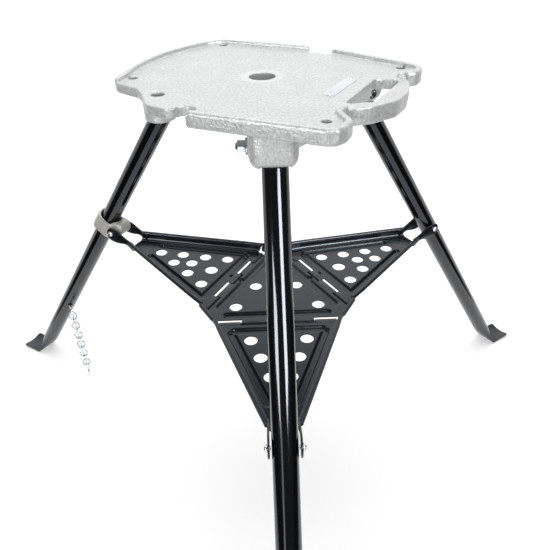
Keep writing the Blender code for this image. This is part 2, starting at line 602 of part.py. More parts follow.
# Tray wings: a tapering channel with ears that straddle the leg.
WING_IN = HINGE_U + KNUCKLE_R + HINGE_SLIT
middle_half = KNUCKLE_MIDDLE - KNUCKLE_GAP
split = KNUCKLE_SPLIT + KNUCKLE_GAP
WING_KNUCKLES = ((-middle_half, middle_half), (split, KNUCKLE_END), (-KNUCKLE_END, -split))
for side in AZIMUTH:
    hinge_frame = spoke(side) @ Matrix.Translation((HINGE_U, 0.0, HINGE_Z))
    if side == "left":
        hinge_frame = hinge_frame @ Matrix.Rotation(math.radians(-LEFT_WING_TILT), 4, "Y")
    shift = Matrix.Translation((-HINGE_U, 0.0, KNUCKLE_R))
    end_half = EAR_INNER + EAR_THICK / 2
    horn = WING_NOTCH + NOTCH_DEPTH
    notch = [(WING_NOTCH + NOTCH_DEPTH * math.sin(math.radians(a)) ** 2, NOTCH_HALF * math.sin(math.radians(a)))
             for a in (90, 55, 20, -20, -55, -90)]
    floor_line = [(WING_IN, -WING_HALF), (WING_IN, WING_HALF), (WING_END, WING_HALF_END), (horn, end_half)]
    floor_line += notch + [(horn, -end_half), (WING_END, -WING_HALF_END)]
    sheet = slab("wing_sheet", floor_line, -SHEET, 0.0)
    adds = []
    for sign in (-1, 1):
        root = Vector((WING_IN, sign * WING_HALF))
        tip = Vector((WING_END + 0.002, sign * (WING_HALF_END - 0.0006)))
        run = (tip - root).length
        turn = math.atan2(tip.y - root.y, tip.x - root.x)
        wall_low = -SHEET - 0.0003
        wall_line = rounded([(0, wall_low, 0), (0, FLANGE - 0.008, 0), (0.010, FLANGE, 0.004),
                             (run, FLANGE, 0), (run, wall_low, 0)])
        wall = upright("side_flange", wall_line, FLANGE_THICK / 2)
        bead_v = sign * BEAD_OUT
        bead_z = FLANGE - BEAD_R / 2
        bead = rod("rolled_edge", BEAD_R, (0.010, bead_v, bead_z), (run - 0.001, bead_v, bead_z), 12)
        for shape in (wall, bead):
            shape.transform(Matrix.Translation((root.x, root.y, 0.0)) @ Matrix.Rotation(turn, 4, "Z"))
            adds.append(shape)
        ear_in = WING_END - 0.006
        ear_line = rounded([(ear_in, -SHEET - 0.0004, 0), (ear_in, FLANGE - 0.001, 0),
                            (EAR_U - 0.038, EAR_UP - 0.004, 0.008), (EAR_U - 0.016, EAR_UP + 0.008, 0.010),
                            (EAR_U + 0.004, EAR_UP + EAR_REACH, 0.009), (EAR_U + EAR_REACH, EAR_UP, 0.009),
                            (EAR_U + 0.006, EAR_UP - 0.015, 0.009), (EAR_U - 0.012, EAR_UP - 0.017, 0.007),
                            (EAR_U - 0.034, EAR_UP - 0.0125, 0.006), (ear_in + 0.004, -SHEET - 0.0004, 0)], 2)
        adds.append(upright("wing_ear", ear_line, EAR_THICK / 2, v=sign * end_half))
    for low, high in WING_KNUCKLES:
        adds.append(rod("wing_knuckle", KNUCKLE_R, (HINGE_U, low, -KNUCKLE_R), (HINGE_U, high, -KNUCKLE_R), 12))
        near = low + 0.0005
        distant = high - 0.0005
        adds.append(slab("wing_leaf", [(HINGE_U, near), (WING_IN + 0.004, near), (WING_IN + 0.004, distant),
                                       (HINGE_U, distant)], -SHEET - 0.0002, -0.0001))
    spots = mm([(237, 0), (199, 14), (199, -14), (160, 27.7), (160, -27.7), (122, 41.7), (122, -41.7), (170.5, 0)])
    holes = [rod("wing_hole", TRAY_HOLE_R, (x, y, -0.01), (x, y, 0.01), 14) for x, y in spots]
    holes.append(rod("wing_hole_big", TRAY_HOLE_BIG_R, (TRAY_HOLE_BIG_U, 0.0, -0.01),
                     (TRAY_HOLE_BIG_U, 0.0, 0.01), 14))
    wing_bore = rod("wing_bore", HINGE_BORE_R, (HINGE_U, -HINGE_BORE_HALF, -KNUCKLE_R),
                    (HINGE_U, HINGE_BORE_HALF, -KNUCKLE_R), 12)
    ear_bore = rod("ear_bore", EAR_BOLT_R + GAP, (EAR_U, -2 * end_half, EAR_UP),
                   (EAR_U, 2 * end_half, EAR_UP), 16)
    cuts = [joined("wing_holes", holes), wing_bore, ear_bore]
    for shape in [sheet] + adds + cuts:
        shape.transform(shift)
    part(f"tray_wing_{side}", sheet, BLACK_SHEET, hinge_frame, adds, cuts)
    for sign, label in ((-1, "a"), (1, "b")):
        face = sign * (EAR_INNER + EAR_THICK + GAP)
        tip = sign * (COLLAR_FLAT + GAP if side == "left" else LEG_R + 2 * GAP)
        stem = rod("ear_shank", EAR_BOLT_R, (EAR_U, tip, EAR_UP), (EAR_U, face + sign * 0.002, EAR_UP), 16)
        top = face + sign * EAR_SCREW_HIGH
        cap = rod("ear_head", EAR_SCREW_R, (EAR_U, face, EAR_UP), (EAR_U, top, EAR_UP), 12)
        for shape in (stem, cap):
            shape.transform(shift)
        part(f"tray_screw_{side}_{label}", stem, ZINC, hinge_frame, [cap])

# Sliding collar on the left leg, with a lug between the left wing's ears.
collar_frame = (pivot_frame("left") @ Matrix.Translation(down("left") * COLLAR_DOWN)
                @ Matrix.Rotation(-tilt("left"), 4, "Y"))
collar_low = -COLLAR_DROP - COLLAR_HIGH / 2
ring_line = [(COLLAR_R * math.cos(math.radians(11.25 * k)), COLLAR_R * math.sin(math.radians(11.25 * k)))
             for k in range(32)]
ring = slab("collar_ring", ring_line, collar_low, collar_low + COLLAR_HIGH, COLLAR_EDGE, 2)
lug_line = rounded(mm([(24, -13, 0), (-7, -11, 8), (-20.5, 0, 10), (-20.5, 17, 9), (-3, 21, 8), (14, 18, 0)]), 3)
lug = upright("collar_lug", lug_line, COLLAR_LUG_HALF, 0.004, 1)
lug.transform(Matrix.Translation((COLLAR_OFFSET, 0.0, 0.0)) @ Matrix.Rotation(tilt("left"), 4, "Y"))
bore_line = []
for k in range(32):
    angle = 2 * math.pi * (k + 0.5) / 32
    bore_line.append((COLLAR_BORE_R * math.cos(angle) + math.copysign(COLLAR_SLACK, math.cos(angle)),
                      COLLAR_BORE_R * math.sin(angle)))
collar_bore = slab("collar_bore", bore_line, -0.05, 0.05)
flats = [slab("collar_flat", [(-0.05, sign * COLLAR_FLAT), (0.05, sign * COLLAR_FLAT), (0.05, sign * 0.04),
                              (-0.05, sign * 0.04)], -0.05, 0.05) for sign in (-1, 1)]
part("slide_collar", ring, CAST_GREY, collar_frame, [lug], [collar_bore, joined("collar_flats", flats)])

# Chain on the left leg: a hook through the tube wall, welded links and an end hook.
chain_spot = CHAIN_AXIS + CHAIN_OUT * LEG_R
chain_frame = pivot_frame("left") @ Matrix.Translation(chain_spot)
UP = Vector((0.0, 0.0, 1.0))


def hang(out, up):
    """A point beside the leg: out from the tube's wall along the hook, and up."""
    return CHAIN_OUT * out + UP * up


# The hook's low bend is HOOK_DROP under the hole and CHAIN_STAND out from the wall.
bend_r = HOOK_BEND_R
hook_line = [hang(-0.0074, 0.0075), hang(-0.0076, 0.0042), hang(-0.0066, 0.0014), hang(-0.0042, 0.0),
             hang(CHAIN_STAND - 0.0030, 0.0)]
for a in (60, 25, -10, -50, -90, -130, -170):
    angle = math.radians(a)
    hook_line.append(hang(CHAIN_STAND + bend_r * math.cos(angle), bend_r - HOOK_DROP + bend_r * math.sin(angle)))
part("chain_hook", wire("hook_wire", hook_line, HOOK_WIRE_R), ZINC, chain_frame)
side_way = Vector((-CHAIN_OUT.y, CHAIN_OUT.x, 0.0))
pitch = CHAIN_INSIDE - GAP
first = -HOOK_DROP + HOOK_WIRE_R + 2 * GAP + CHAIN_WIRE_R
half_long = CHAIN_INSIDE / 2 + CHAIN_WIRE_R
half_wide = CHAIN_WIDE / 2 - CHAIN_WIRE_R
for number in range(CHAIN_LINKS):
    flat = side_way if number % 2 == 0 else CHAIN_OUT
    centre = hang(CHAIN_STAND, first - half_long - number * pitch)
    loop = []
    for k in range(12):
        angle = 2 * math.pi * (k + 0.5) / 12
        straight = math.copysign(half_long - half_wide, math.sin(angle))
        loop.append(centre + flat * (half_wide * math.cos(angle)) + UP * (straight + half_wide * math.sin(angle)))
    part(f"chain_link_{number + 1:02d}", wire("link_wire", loop, CHAIN_WIRE_R, True), ZINC, chain_frame)

# The end hook is an S of two bends, through the last link.
last = first - half_long - (CHAIN_LINKS - 1) * pitch - CHAIN_INSIDE / 2 + GAP + HOOK_WIRE_R
cross_way = side_way if CHAIN_LINKS % 2 == 0 else CHAIN_OUT
end_line = []
for drop, angles in ((1.0, (200, 150, 100, 50, 0, -50)), (2.9, (130, 180, 230, 280, 330, 380))):
    for a in angles:
        angle = math.radians(a)
        end_line.append(hang(CHAIN_STAND, last - drop * END_R + END_R * math.sin(angle))
                        + cross_way * (END_R * math.cos(angle)))
part("chain_end_hook", wire("end_wire", end_line, HOOK_WIRE_R), ZINC, chain_frame)
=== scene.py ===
import json
from math import copysign, cos, pi, radians, sin, tan, tau

import bmesh
import bpy
from mathutils import Matrix, Vector


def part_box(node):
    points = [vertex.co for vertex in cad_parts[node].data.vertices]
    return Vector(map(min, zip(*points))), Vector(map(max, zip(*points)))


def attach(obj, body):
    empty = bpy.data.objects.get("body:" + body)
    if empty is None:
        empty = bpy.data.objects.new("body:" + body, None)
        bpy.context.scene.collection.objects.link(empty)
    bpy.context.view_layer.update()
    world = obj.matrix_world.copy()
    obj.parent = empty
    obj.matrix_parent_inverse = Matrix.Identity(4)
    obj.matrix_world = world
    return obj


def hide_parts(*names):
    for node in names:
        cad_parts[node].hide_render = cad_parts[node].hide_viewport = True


bl_info = {
    "name": "Threading machine tripod stand",
    "version": (1, 0, 0),
    "blender": (4, 5, 0),
    "location": "View3D > Sidebar > Stand",
    "description": "Dresses the folding stand: cast top, tube legs, pierced tray and chain",
    "category": "Object",
}

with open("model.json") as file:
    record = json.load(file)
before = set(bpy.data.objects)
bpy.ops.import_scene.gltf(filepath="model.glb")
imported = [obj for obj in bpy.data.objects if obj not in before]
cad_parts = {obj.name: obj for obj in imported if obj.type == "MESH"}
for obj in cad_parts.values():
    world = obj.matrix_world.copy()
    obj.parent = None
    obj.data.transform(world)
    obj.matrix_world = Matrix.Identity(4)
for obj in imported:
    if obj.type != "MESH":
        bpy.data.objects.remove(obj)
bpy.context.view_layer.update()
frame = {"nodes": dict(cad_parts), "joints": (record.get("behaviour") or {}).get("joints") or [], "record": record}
NODES = frame["nodes"]
JOINTS = {joint["name"]: joint for joint in frame["joints"]}
BODY_OF = {node: body for body, members in frame["record"]["behaviour"]["bodies"].items()
           for node in members}
SLOT_OF = {entry["node"]: entry["material_slot"] for entry in frame["record"]["subparts"]}

# Sizes that the surfaces share with the solids, in metres, and angles in degrees.
SIDES = ("front", "right", "left")
AZIMUTH = {"front": -90.0, "right": 30.0, "left": 150.0}
LEG_TILT = {"front": 33.6, "right": 33.6, "left": 35.73}
GAP = 0.0003
TRAY_Z = 0.395
PLATE_Z = 0.745
LEG_R = 0.03175 / 2
LEG_TOP = 0.008
FOOT_LENGTH = 0.046
FOOT_HALF = 0.0021
FOOT_HALF_WIDTH = pi * LEG_R / 2
FOOT_HOLE_OUT = 0.014
FOOT_HOLE_R = 0.0034
BOSS_HALF = 0.0305
HEAD_SEAT = 0.0215
PIVOT_BOLT_R = 0.0047
NUT_R = 0.0082
NUT_HIGH = 0.0090
HEAD_HIGH = 0.0060
WASHER_R = 0.0100
WASHER_THICK = 0.0026
THREAD_PAST = 0.0025
SHEET = 0.0016
HINGE_U = 0.0795
KNUCKLE_R = 0.0043
HINGE_BORE_R = 0.0028
HINGE_SLIT = 0.0026
KNUCKLE_MIDDLE = 0.0165
KNUCKLE_SPLIT = 0.0565
KNUCKLE_END = 0.0910
KNUCKLE_GAP = 0.001
PANEL_CORNER = 0.125
PANEL_CORNER_HALF = 0.023
PANEL_LIP = 0.011
PANEL_EDGE = HINGE_U - KNUCKLE_R - HINGE_SLIT
WING_IN = HINGE_U + KNUCKLE_R + HINGE_SLIT
WING_END = 0.290
WING_HALF = 0.0945
WING_HALF_END = 0.0195
FLANGE_HALF = 0.001
GROOVE_WALL = 0.62  # The share of a groove's half width that its sloping wall takes.
EAR_U = 0.334
EAR_UP = 0.020
EAR_MIDDLE = 0.0194
EAR_HALF = 0.0014
EAR_BOLT_R = 0.0030
SCREW_R = 0.0048
SCREW_HIGH = 0.0042
COLLAR_FLAT = 0.0177
LEFT_WING_TILT = 3.2
TRAY_HOLE_R = 0.010
TRAY_HOLE_BIG = (0.129, 0.0, 0.011)
# The plate's holes on the left leg's spoke (x, y, radius): centre, locating and four bolt holes.
PLATE_HOLES = (
    (0.0095, 0.0055, 0.0175), (0.0885, 0.1245, 0.0085), (-0.1425, -0.1035, 0.0062),
    (-0.1355, 0.1245, 0.0062), (0.1625, 0.0815, 0.0062), (0.1495, -0.1195, 0.0062))
CHAIN_STAND = 0.022
CHAIN_WIRE_R = 0.0021
CHAIN_INSIDE = 0.0140
CHAIN_WIDE = 0.0190
HOOK_WIRE_R = 0.0024
HOOK_DROP = 0.0150
HOOK_BEND_R = 0.0058
HOOK_HOLE_R = 0.0046
END_R = 0.0070
UP = Vector((0.0, 0.0, 1.0))
WHITE = (1.0, 1.0, 1.0, 1.0)

# The tripod axis stands one hinge distance behind the front wing's hinge.
hinge_spot = JOINTS["front_wing_fold"]["pos_m"]
AXIS = Matrix.Translation((hinge_spot[0], hinge_spot[1] + HINGE_U, 0.0))
FLOOR_TO_PIVOT = JOINTS["front_leg_fold"]["pos_m"][2]


def linear(code):
    """An sRGB hex colour as linear red, green and blue."""
    parts = [int(code[i:i + 2], 16) / 255 for i in (1, 3, 5)]
    return tuple(c / 12.92 if c <= 0.04045 else ((c + 0.055) / 1.055) ** 2.4 for c in parts)


def rotation(degrees, axis):
    """A turn about one axis."""
    return Matrix.Rotation(radians(degrees), 4, axis)


def shift(x, y, z):
    """A move along the axes."""
    return Matrix.Translation((x, y, z))


def spoke(side):
    """A leg's frame on the tripod axis: x runs out along the leg, y is a quarter turn round."""
    return AXIS @ rotation(AZIMUTH[side], "Z")


def pivot_frame(side):
    """The frame at a leg's top pivot."""
    return shift(*JOINTS[f"{side}_leg_fold"]["pos_m"]) @ rotation(AZIMUTH[side], "Z")


def wing_frame(side):
    """A tray wing's frame: x out from the axis, y across, z up from the sheet's top face."""
    swing = -LEFT_WING_TILT if side == "left" else 0.0
    return (spoke(side) @ shift(HINGE_U, 0.0, TRAY_Z - KNUCKLE_R)
            @ rotation(swing, "Y") @ shift(-HINGE_U, 0.0, KNUCKLE_R))


def size(name, description, default):
    """A size in metres, as a setting."""
    return bpy.props.FloatProperty(
        name=name, description=description, default=default, unit="LENGTH")


def colour(name, description, code):
    """A colour given as an sRGB hex value, as a setting."""
    return bpy.props.FloatVectorProperty(
        name=name, description=description, subtype="COLOR", default=linear(code))


class StandLooks(bpy.types.PropertyGroup):
    """Sizes and colours of the stand's surfaces."""

    casting_grain: size("Casting mesh", "Edge length of the casting's soft skin", 0.0014)
    casting_soften: bpy.props.IntProperty(
        name="Casting softness", description="How often the casting's edges are eased", default=8,
        min=0, max=30)
    collar_grain: size("Collar mesh", "Edge length of the collar's soft skin", 0.0009)
    groove_depth: size("Groove depth", "Depth of the pressed grooves in the tray", 0.0042)
    groove_half: size("Groove half width", "Half the width of the pressed grooves", 0.0078)
    flange_bend: size("Flange bend", "Inner radius of the bend up to a wing's flange", 0.0060)
    flange_rise: size("Flange wall", "Straight height of a wing's flange", 0.0063)
    flange_curl: size("Flange roll", "Radius of the rolled top of a wing's flange", 0.0036)
    silver: colour("Silver paint", "Paint of the cast top", "#CBCDCC")
    black: colour("Black enamel", "Paint of the legs", "#090A0D")
    tray_black: colour("Tray enamel", "Paint of the tray", "#13171B")
    zinc: colour("Zinc plate", "Plating of bolts and chain", "#CDD2D6")
    grey_iron: colour("Grey casting", "Bare casting of the collar", "#C4C1BC")
    label_white: colour("Label plate", "Bare label plate", "#D8DAE0")


def feed(node, inputs):
    """Sets a node's inputs: another node or an output is linked, anything else is a value."""
    for key, value in inputs.items():
        if isinstance(value, bpy.types.Node):
            value = next(output for output in value.outputs if output.enabled)
        if isinstance(value, bpy.types.NodeSocket):
            node.id_data.links.new(value, node.inputs[key])
        else:
            node.inputs[key].default_value = value


def add(tree, kind, inputs=None, stops=(), **settings):
    """Adds one shader node with its settings, its inputs and, for a colour ramp, its stops."""
    made = tree.nodes.new("ShaderNode" + kind)
    for key, value in settings.items():
        setattr(made, key, value)
    for number, (position, tone) in enumerate(stops):
        made.color_ramp.elements[number].position = position
        made.color_ramp.elements[number].color = tone
    feed(made, inputs or {})
    return made


def new_material(name):
    """An empty material with its shader and the surface's own coordinates."""
    mat = bpy.data.materials.new(name)
    mat.use_nodes = True
    tree = mat.node_tree
    place = add(tree, "TexCoord").outputs["Object"]
    return mat, tree, tree.nodes["Principled BSDF"], place


def shade(rgb, factor):
    """A colour made lighter or darker."""
    return tuple(min(1.0, c * factor) for c in rgb) + (1.0,)


def tones(rgb, low, dark, high, light):
    """A colour made darker and lighter, as the two stops of a ramp."""
    return (low, shade(rgb, dark)), (high, shade(rgb, light))


def silver_paint(looks):
    """Aluminium-pigment paint sprayed on a sand casting: pale, faintly metallic, pebbled skin."""
    mat, tree, shader, place = new_material("aluminium_paint_on_sand_casting")
    # Sand grain of under 1 mm is finer than a pixel, so it is drawn at about 3 mm to show.
    pebble = add(tree, "TexNoise", {
        "Vector": place, "Scale": 1 / 0.0034, "Detail": 3.0, "Roughness": 0.6})
    speck = add(tree, "TexVoronoi", {"Vector": place, "Scale": 1 / 0.0030, "Randomness": 1.0})
    cloud = add(tree, "TexNoise", {"Vector": place, "Scale": 1 / 0.050, "Detail": 3.0})
    grain = add(tree, "ValToRGB", {"Fac": pebble}, tones(looks.silver, 0.33, 0.79, 0.65, 1.12))
    drift = add(tree, "ValToRGB", {"Fac": cloud},
                ((0.30, (0.93, 0.93, 0.925, 1.0)), (0.70, WHITE)))
    coat = add(tree, "Mix", {"Factor": 1.0, "A": grain, "B": drift},
               data_type="RGBA", blend_type="MULTIPLY")
    # How far a spot is from each hole's wall.
    past = []
    for x, y, radius in PLATE_HOLES:
        hole = spoke("left") @ Vector((x, y, 0.0))
        centred = add(tree, "Mapping", {
            "Vector": place, "Location": (-hole.x, -hole.y, 0.0), "Scale": (1.0, 1.0, 0.0)})
        away = add(tree, "VectorMath", {0: centred}, operation="LENGTH")
        past.append(add(tree, "Math", {0: away, 1: radius}, operation="SUBTRACT"))
    # A machined ring round the centre hole is a little paler than the paint.
    ring = add(tree, "MapRange", {
        "Value": past[0], "From Min": 0.0090, "From Max": 0.0140, "To Min": 0.55, "To Max": 0.0})
    # The bores are bare and dull, from just below the plate's face, and their colour is darkened there as painted
    # shade inside the holes.
    depth = past[0]
    for other in past[1:]:
        depth = add(tree, "Math", {0: depth, 1: other}, operation="MINIMUM")
    inside = add(tree, "MapRange", {
        "Value": depth, "From Min": 0.0002, "From Max": 0.0008, "To Min": 1.0, "To Max": 0.0})
    height = add(tree, "SeparateXYZ", {"Vector": place}).outputs["Z"]
    below = add(tree, "MapRange", {
        "Value": height, "From Min": PLATE_Z - 0.0020, "From Max": PLATE_Z - 0.0006,
        "To Min": 1.0, "To Max": 0.0})
    bore = add(tree, "Math", {0: inside, 1: below}, operation="MULTIPLY")
    # The ring is painted paler. The bores are painted darker, partly for bare metal and partly as painted shade in
    # the holes.
    for mask, factor in ((ring, 1.16), (bore, 0.60)):
        coat = add(tree, "Mix", {
            "Factor": mask, "A": coat, "B": shade(looks.silver, factor)}, data_type="RGBA")
    rough = add(tree, "MapRange", {"Value": pebble, "To Min": 0.33, "To Max": 0.47})
    dull = add(tree, "Mix", {"Factor": bore, "A": rough, "B": 0.85}, data_type="FLOAT")
    skin = add(tree, "Math", {0: pebble, 1: speck}, operation="ADD")
    bump = add(tree, "Bump", {"Height": skin, "Strength": 0.45, "Distance": 0.0007})
    feed(shader, {"Base Color": coat, "Roughness": dull, "Metallic": 0.20, "Normal": bump})
    return mat


def patterned(name, rgb, patterns, tone, gloss, bump=None, fixed=()):
    """A finish from noise patterns, each given as size in metres, detail and roughness.

    tone, gloss and bump say which pattern they follow, and then the ramp's two stops, the range of
    roughness, and the bump's strength and depth; fixed holds the shader's other values.
    """
    mat, tree, shader, place = new_material(name)
    made = {key: add(tree, "TexNoise", {"Vector": place, "Scale": 1 / grain, "Detail": detail,
                                        "Roughness": rough})
            for key, (grain, detail, rough) in patterns.items()}
    feed(shader, dict(fixed))
    key, *stops = tone
    ramp = add(tree, "ValToRGB", {"Fac": made[key]}, tones(rgb, *stops))
    key, low, high = gloss
    rough = add(tree, "MapRange", {"Value": made[key], "To Min": low, "To Max": high})
    feed(shader, {"Base Color": ramp, "Roughness": rough})
    if bump:
        key, strength, depth = bump
        relief = add(tree, "Bump", {"Height": made[key], "Strength": strength, "Distance": depth})
        feed(shader, {"Normal": relief})
    return mat


def black_enamel(looks):
    """Baked gloss enamel on drawn steel tube: deep black with a clear, slightly wavy reflection."""
    # Dust in the enamel is finer than a pixel, so it is drawn at 4 mm to show.
    return patterned(
        "gloss_black_enamel_on_tube", looks.black,
        {"dust": (0.004, 4.0, 0.7), "wave": (0.016, 2.0, 0.5)},
        tone=("dust", 0.35, 0.85, 0.75, 1.30), gloss=("dust", 0.07, 0.13),
        bump=("wave", 0.05, 0.0006), fixed={"Specular Tint": (*linear("#EFF5FF"), 1.0)})


def tray_enamel(looks):
    """Gloss enamel dipped on pressed sheet: black with an orange-peel sheen and cloudy tones."""
    # Orange peel of 1 to 2 mm hardly shows at this distance, so it is drawn at 4 mm.
    return patterned(
        "dipped_black_enamel_on_pressed_sheet", looks.tray_black,
        {"peel": (0.0040, 3.0, 0.6), "cloud": (0.045, 3.0, 0.5)},
        tone=("cloud", 0.30, 0.85, 0.75, 1.35), gloss=("peel", 0.19, 0.30),
        bump=("peel", 0.07, 0.0004),
        fixed={"Specular Tint": (*linear("#E9F3FF"), 1.0), "Specular IOR Level": 0.44})


def zinc_plate(looks):
    """Bright zinc electroplate on steel: cool mirror with a cloudy bloom."""
    return patterned(
        "bright_zinc_plated_steel", looks.zinc, {"bloom": (0.0035, 3.0, 0.5)},
        tone=("bloom", 0.30, 0.80, 0.70, 1.08), gloss=("bloom", 0.15, 0.30),
        fixed={"Metallic": 1.0})


def grey_casting(looks):
    """Bare grey casting, tumbled smooth: dull metal with a fine sandy grain."""
    # Grain of about 0.5 mm is drawn at 2 mm to show.
    return patterned(
        "tumbled_grey_casting", looks.grey_iron,
        {"sand": (0.0020, 4.0, 0.7), "stain": (0.018, 2.0, 0.5)},
        tone=("stain", 0.30, 0.84, 0.72, 1.10), gloss=("sand", 0.36, 0.55),
        bump=("sand", 0.25, 0.0004), fixed={"Metallic": 0.15})


def label_enamel(looks):
    """White enamel on a thin aluminium plate: clean satin white with faint handling marks."""
    return patterned(
        "white_enamelled_aluminium_plate", looks.label_white, {"smear": (0.010, 4.0, 0.6)},
        tone=("smear", 0.35, 0.94, 0.65, 1.0), gloss=("smear", 0.22, 0.38))


FINISHES = {"silver_casting": silver_paint, "black_tube": black_enamel, "black_sheet": tray_enamel,
            "zinc_steel": zinc_plate, "bare_casting": grey_casting, "label": label_enamel}
made_finishes = {}


def finish_for(kind):
    """One of the stand's finishes, made once."""
    if kind not in made_finishes:
        made_finishes[kind] = FINISHES[kind](bpy.context.scene.stand_looks)
    return made_finishes[kind]


def placed(name, data):
    """A new object in the scene."""
    made = bpy.data.objects.new(name, data)
    bpy.context.scene.collection.objects.link(made)
    return made


def put(name, mesh, nodes=(), body=None, slot=None, finish=None):
    """Places a mesh as a piece; one that stands for CAD nodes takes their body and slot."""
    body = body or BODY_OF[nodes[0]]
    slot = slot or SLOT_OF[nodes[0]]
    mesh.name = name
    piece = placed(name, mesh)
    mesh.materials.clear()
    mesh.materials.append(finish_for(finish or slot))
    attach(piece, body)
    if nodes:
        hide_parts(*nodes)


def to_mesh(bm, sharp=None, place=None):
    """Ends a bmesh as a mesh, smooth but for edges sharper than the angle."""
    if place is not None:
        bmesh.ops.transform(bm, matrix=place, verts=bm.verts)
    mesh = bpy.data.meshes.new("shape")
    bm.to_mesh(mesh)
    bm.free()
    mesh.shade_smooth()
    if sharp is not None:
        mesh.set_sharp_from_angle(angle=radians(sharp))
    return mesh


def with_modifiers(mesh, steps):
    """The mesh after a row of modifiers, each given as its kind and settings."""
    holder = placed("holder", mesh)
    for kind, settings in steps:
        step = holder.modifiers.new(kind.lower(), kind)
        for key, value in settings.items():
            setattr(step, key, value)
    bpy.context.view_layer.update()
    graph = bpy.context.evaluated_depsgraph_get()
    done = bpy.data.meshes.new_from_object(holder.evaluated_get(graph))
    bpy.data.objects.remove(holder, do_unlink=True)
    return done


def shaped(mesh, steps):
    """The mesh after Boolean steps, each an operation and the bmesh of the shape that it uses."""
    helpers = [(operation, placed("helper", to_mesh(bm))) for operation, bm in steps]
    done = with_modifiers(mesh, [
        ("BOOLEAN", {"operation": operation, "solver": "EXACT", "object": helper})
        for operation, helper in helpers])
    for _, helper in helpers:
        bpy.data.objects.remove(helper, do_unlink=True)
    return done


def soft_casting(node, grain, rounds, *more):
    """A copy of a CAD node, its loose triangles joined, as a casting with eased edges."""
    bm = bmesh.new()
    bm.from_mesh(NODES[node].data)
    bmesh.ops.remove_doubles(bm, verts=bm.verts, dist=0.000005)
    mesh = with_modifiers(to_mesh(bm), [
        ("REMESH", {"mode": "VOXEL", "voxel_size": grain}),
        ("SMOOTH", {"factor": 0.5, "iterations": rounds}), *more])
    mesh.shade_smooth()
    return mesh


def together(meshes, sharp=None, place=None):
    """Several closed shells as one mesh."""
    bm = bmesh.new()
    for mesh in meshes:
        bm.from_mesh(mesh)
    return to_mesh(bm, sharp, place)


def rods(spots, low, high, sides=32):
    """Upright round rods (x, y, radius) as one bmesh."""
    bm = bmesh.new()
    for x, y, radius in spots:
        bmesh.ops.create_cone(
            bm, cap_ends=True, segments=sides, radius1=radius, radius2=radius, depth=high - low,
            matrix=shift(x, y, (low + high) / 2))
    return bm


def turned(profile, steps=32, closed=False):
    """A shape turned about z from a line of (radius, height) points."""
    bm = bmesh.new()
    verts = [bm.verts.new((radius, 0.0, height)) for radius, height in profile]
    edges = [bm.edges.new(pair) for pair in zip(verts, verts[1:])]
    if closed:
        edges.append(bm.edges.new((verts[-1], verts[0])))
    bmesh.ops.spin(bm, geom=verts + edges, cent=(0.0, 0.0, 0.0), axis=UP, angle=tau,
                   steps=steps, use_merge=True)
    bmesh.ops.remove_doubles(bm, verts=bm.verts, dist=0.000002)
    bmesh.ops.recalc_face_normals(bm, faces=bm.faces)
    return bm


def eased(bm, edges, offset, segments):
    """Rounds edges off."""
    bmesh.ops.bevel(bm, geom=edges, offset=offset, affect="EDGES", segments=segments, profile=0.5,
                    material=-1)


def steepness(edge):
    """One for an upright edge, nought for a level one."""
    return abs((edge.verts[0].co - edge.verts[1].co).normalized().z)


def block(low, high, corner=0.0, edge=0.0003):
    """A plate between two corners, its upright edges rounded by corner and its rims by edge."""
    low = Vector(low)
    high = Vector(high)
    bm = bmesh.new()
    bmesh.ops.create_cube(bm, size=1.0, matrix=shift(*(low + high) / 2)
                          @ Matrix.Diagonal((*(high - low), 1.0)))
    if corner:
        eased(bm, [e for e in bm.edges if steepness(e) > 0.99], corner, 5)
    eased(bm, [e for e in bm.edges if steepness(e) < 0.01], edge, 2)
    return bm


def smooth_rows(rows, steps):
    """Rows of numbers with soft curves between them."""
    line = []
    for i in range(len(rows) - 1):
        before, here, there, after = (
            rows[max(0, min(len(rows) - 1, k))] for k in (i - 1, i, i + 1, i + 2))
        for k in range(steps):
            t = k / steps
            line.append(tuple(
                b + 0.5 * t * (c - a + t * (2 * a - 5 * b + 4 * c - d + t * (3 * (b - c) + d - a)))
                for a, b, c, d in zip(before, here, there, after)))
    line.append(tuple(rows[-1]))
    return line


def new_ring(grown):
    """The new vertices of an extrusion and the edges between them."""
    verts = [item for item in grown if isinstance(item, bmesh.types.BMVert)]
    members = set(verts)
    edges = [item for item in grown
             if isinstance(item, bmesh.types.BMEdge) and members.issuperset(item.verts)]
    return verts, edges


def loft(sections, count):
    """A closed skin through rings; each section gives a point's place by its angle round."""
    bm = bmesh.new()
    order = bm.verts.layers.int.new("order")
    ring = bmesh.ops.create_circle(bm, cap_ends=True, segments=count, radius=1.0)["verts"]
    for number, vert in enumerate(ring):
        vert[order] = number
    edges = list(bm.edges)
    for number, place in enumerate(sections):
        if number:
            ring, edges = new_ring(bmesh.ops.extrude_edge_only(bm, edges=edges)["geom"])
        for vert in ring:
            vert.co = place(tau * (vert[order] + 0.5) / count)
    bmesh.ops.edgeloop_fill(bm, edges=edges)
    bmesh.ops.recalc_face_normals(bm, faces=bm.faces)
    return bm


def bent_wire(points, radius):
    """A round wire along a soft line of points."""
    curve = bpy.data.curves.new("wire", "CURVE")
    curve.dimensions = "3D"
    curve.fill_mode = "FULL"
    curve.bevel_depth = radius
    curve.bevel_resolution = 3
    curve.use_fill_caps = True
    line = smooth_rows([tuple(point) for point in points], 5)
    spline = curve.splines.new("POLY")
    spline.points.add(len(line) - 1)
    for slot, spot in zip(spline.points, line):
        slot.co = (*spot, 1.0)
    holder = bpy.data.objects.new("wire", curve)
    mesh = bpy.data.meshes.new_from_object(holder)
    bpy.data.objects.remove(holder, do_unlink=True)
    bm = bmesh.new()
    bm.from_mesh(mesh)
    bmesh.ops.remove_doubles(bm, verts=bm.verts, dist=0.00001)
    bmesh.ops.recalc_face_normals(bm, faces=bm.faces)
    return to_mesh(bm, 50.0)


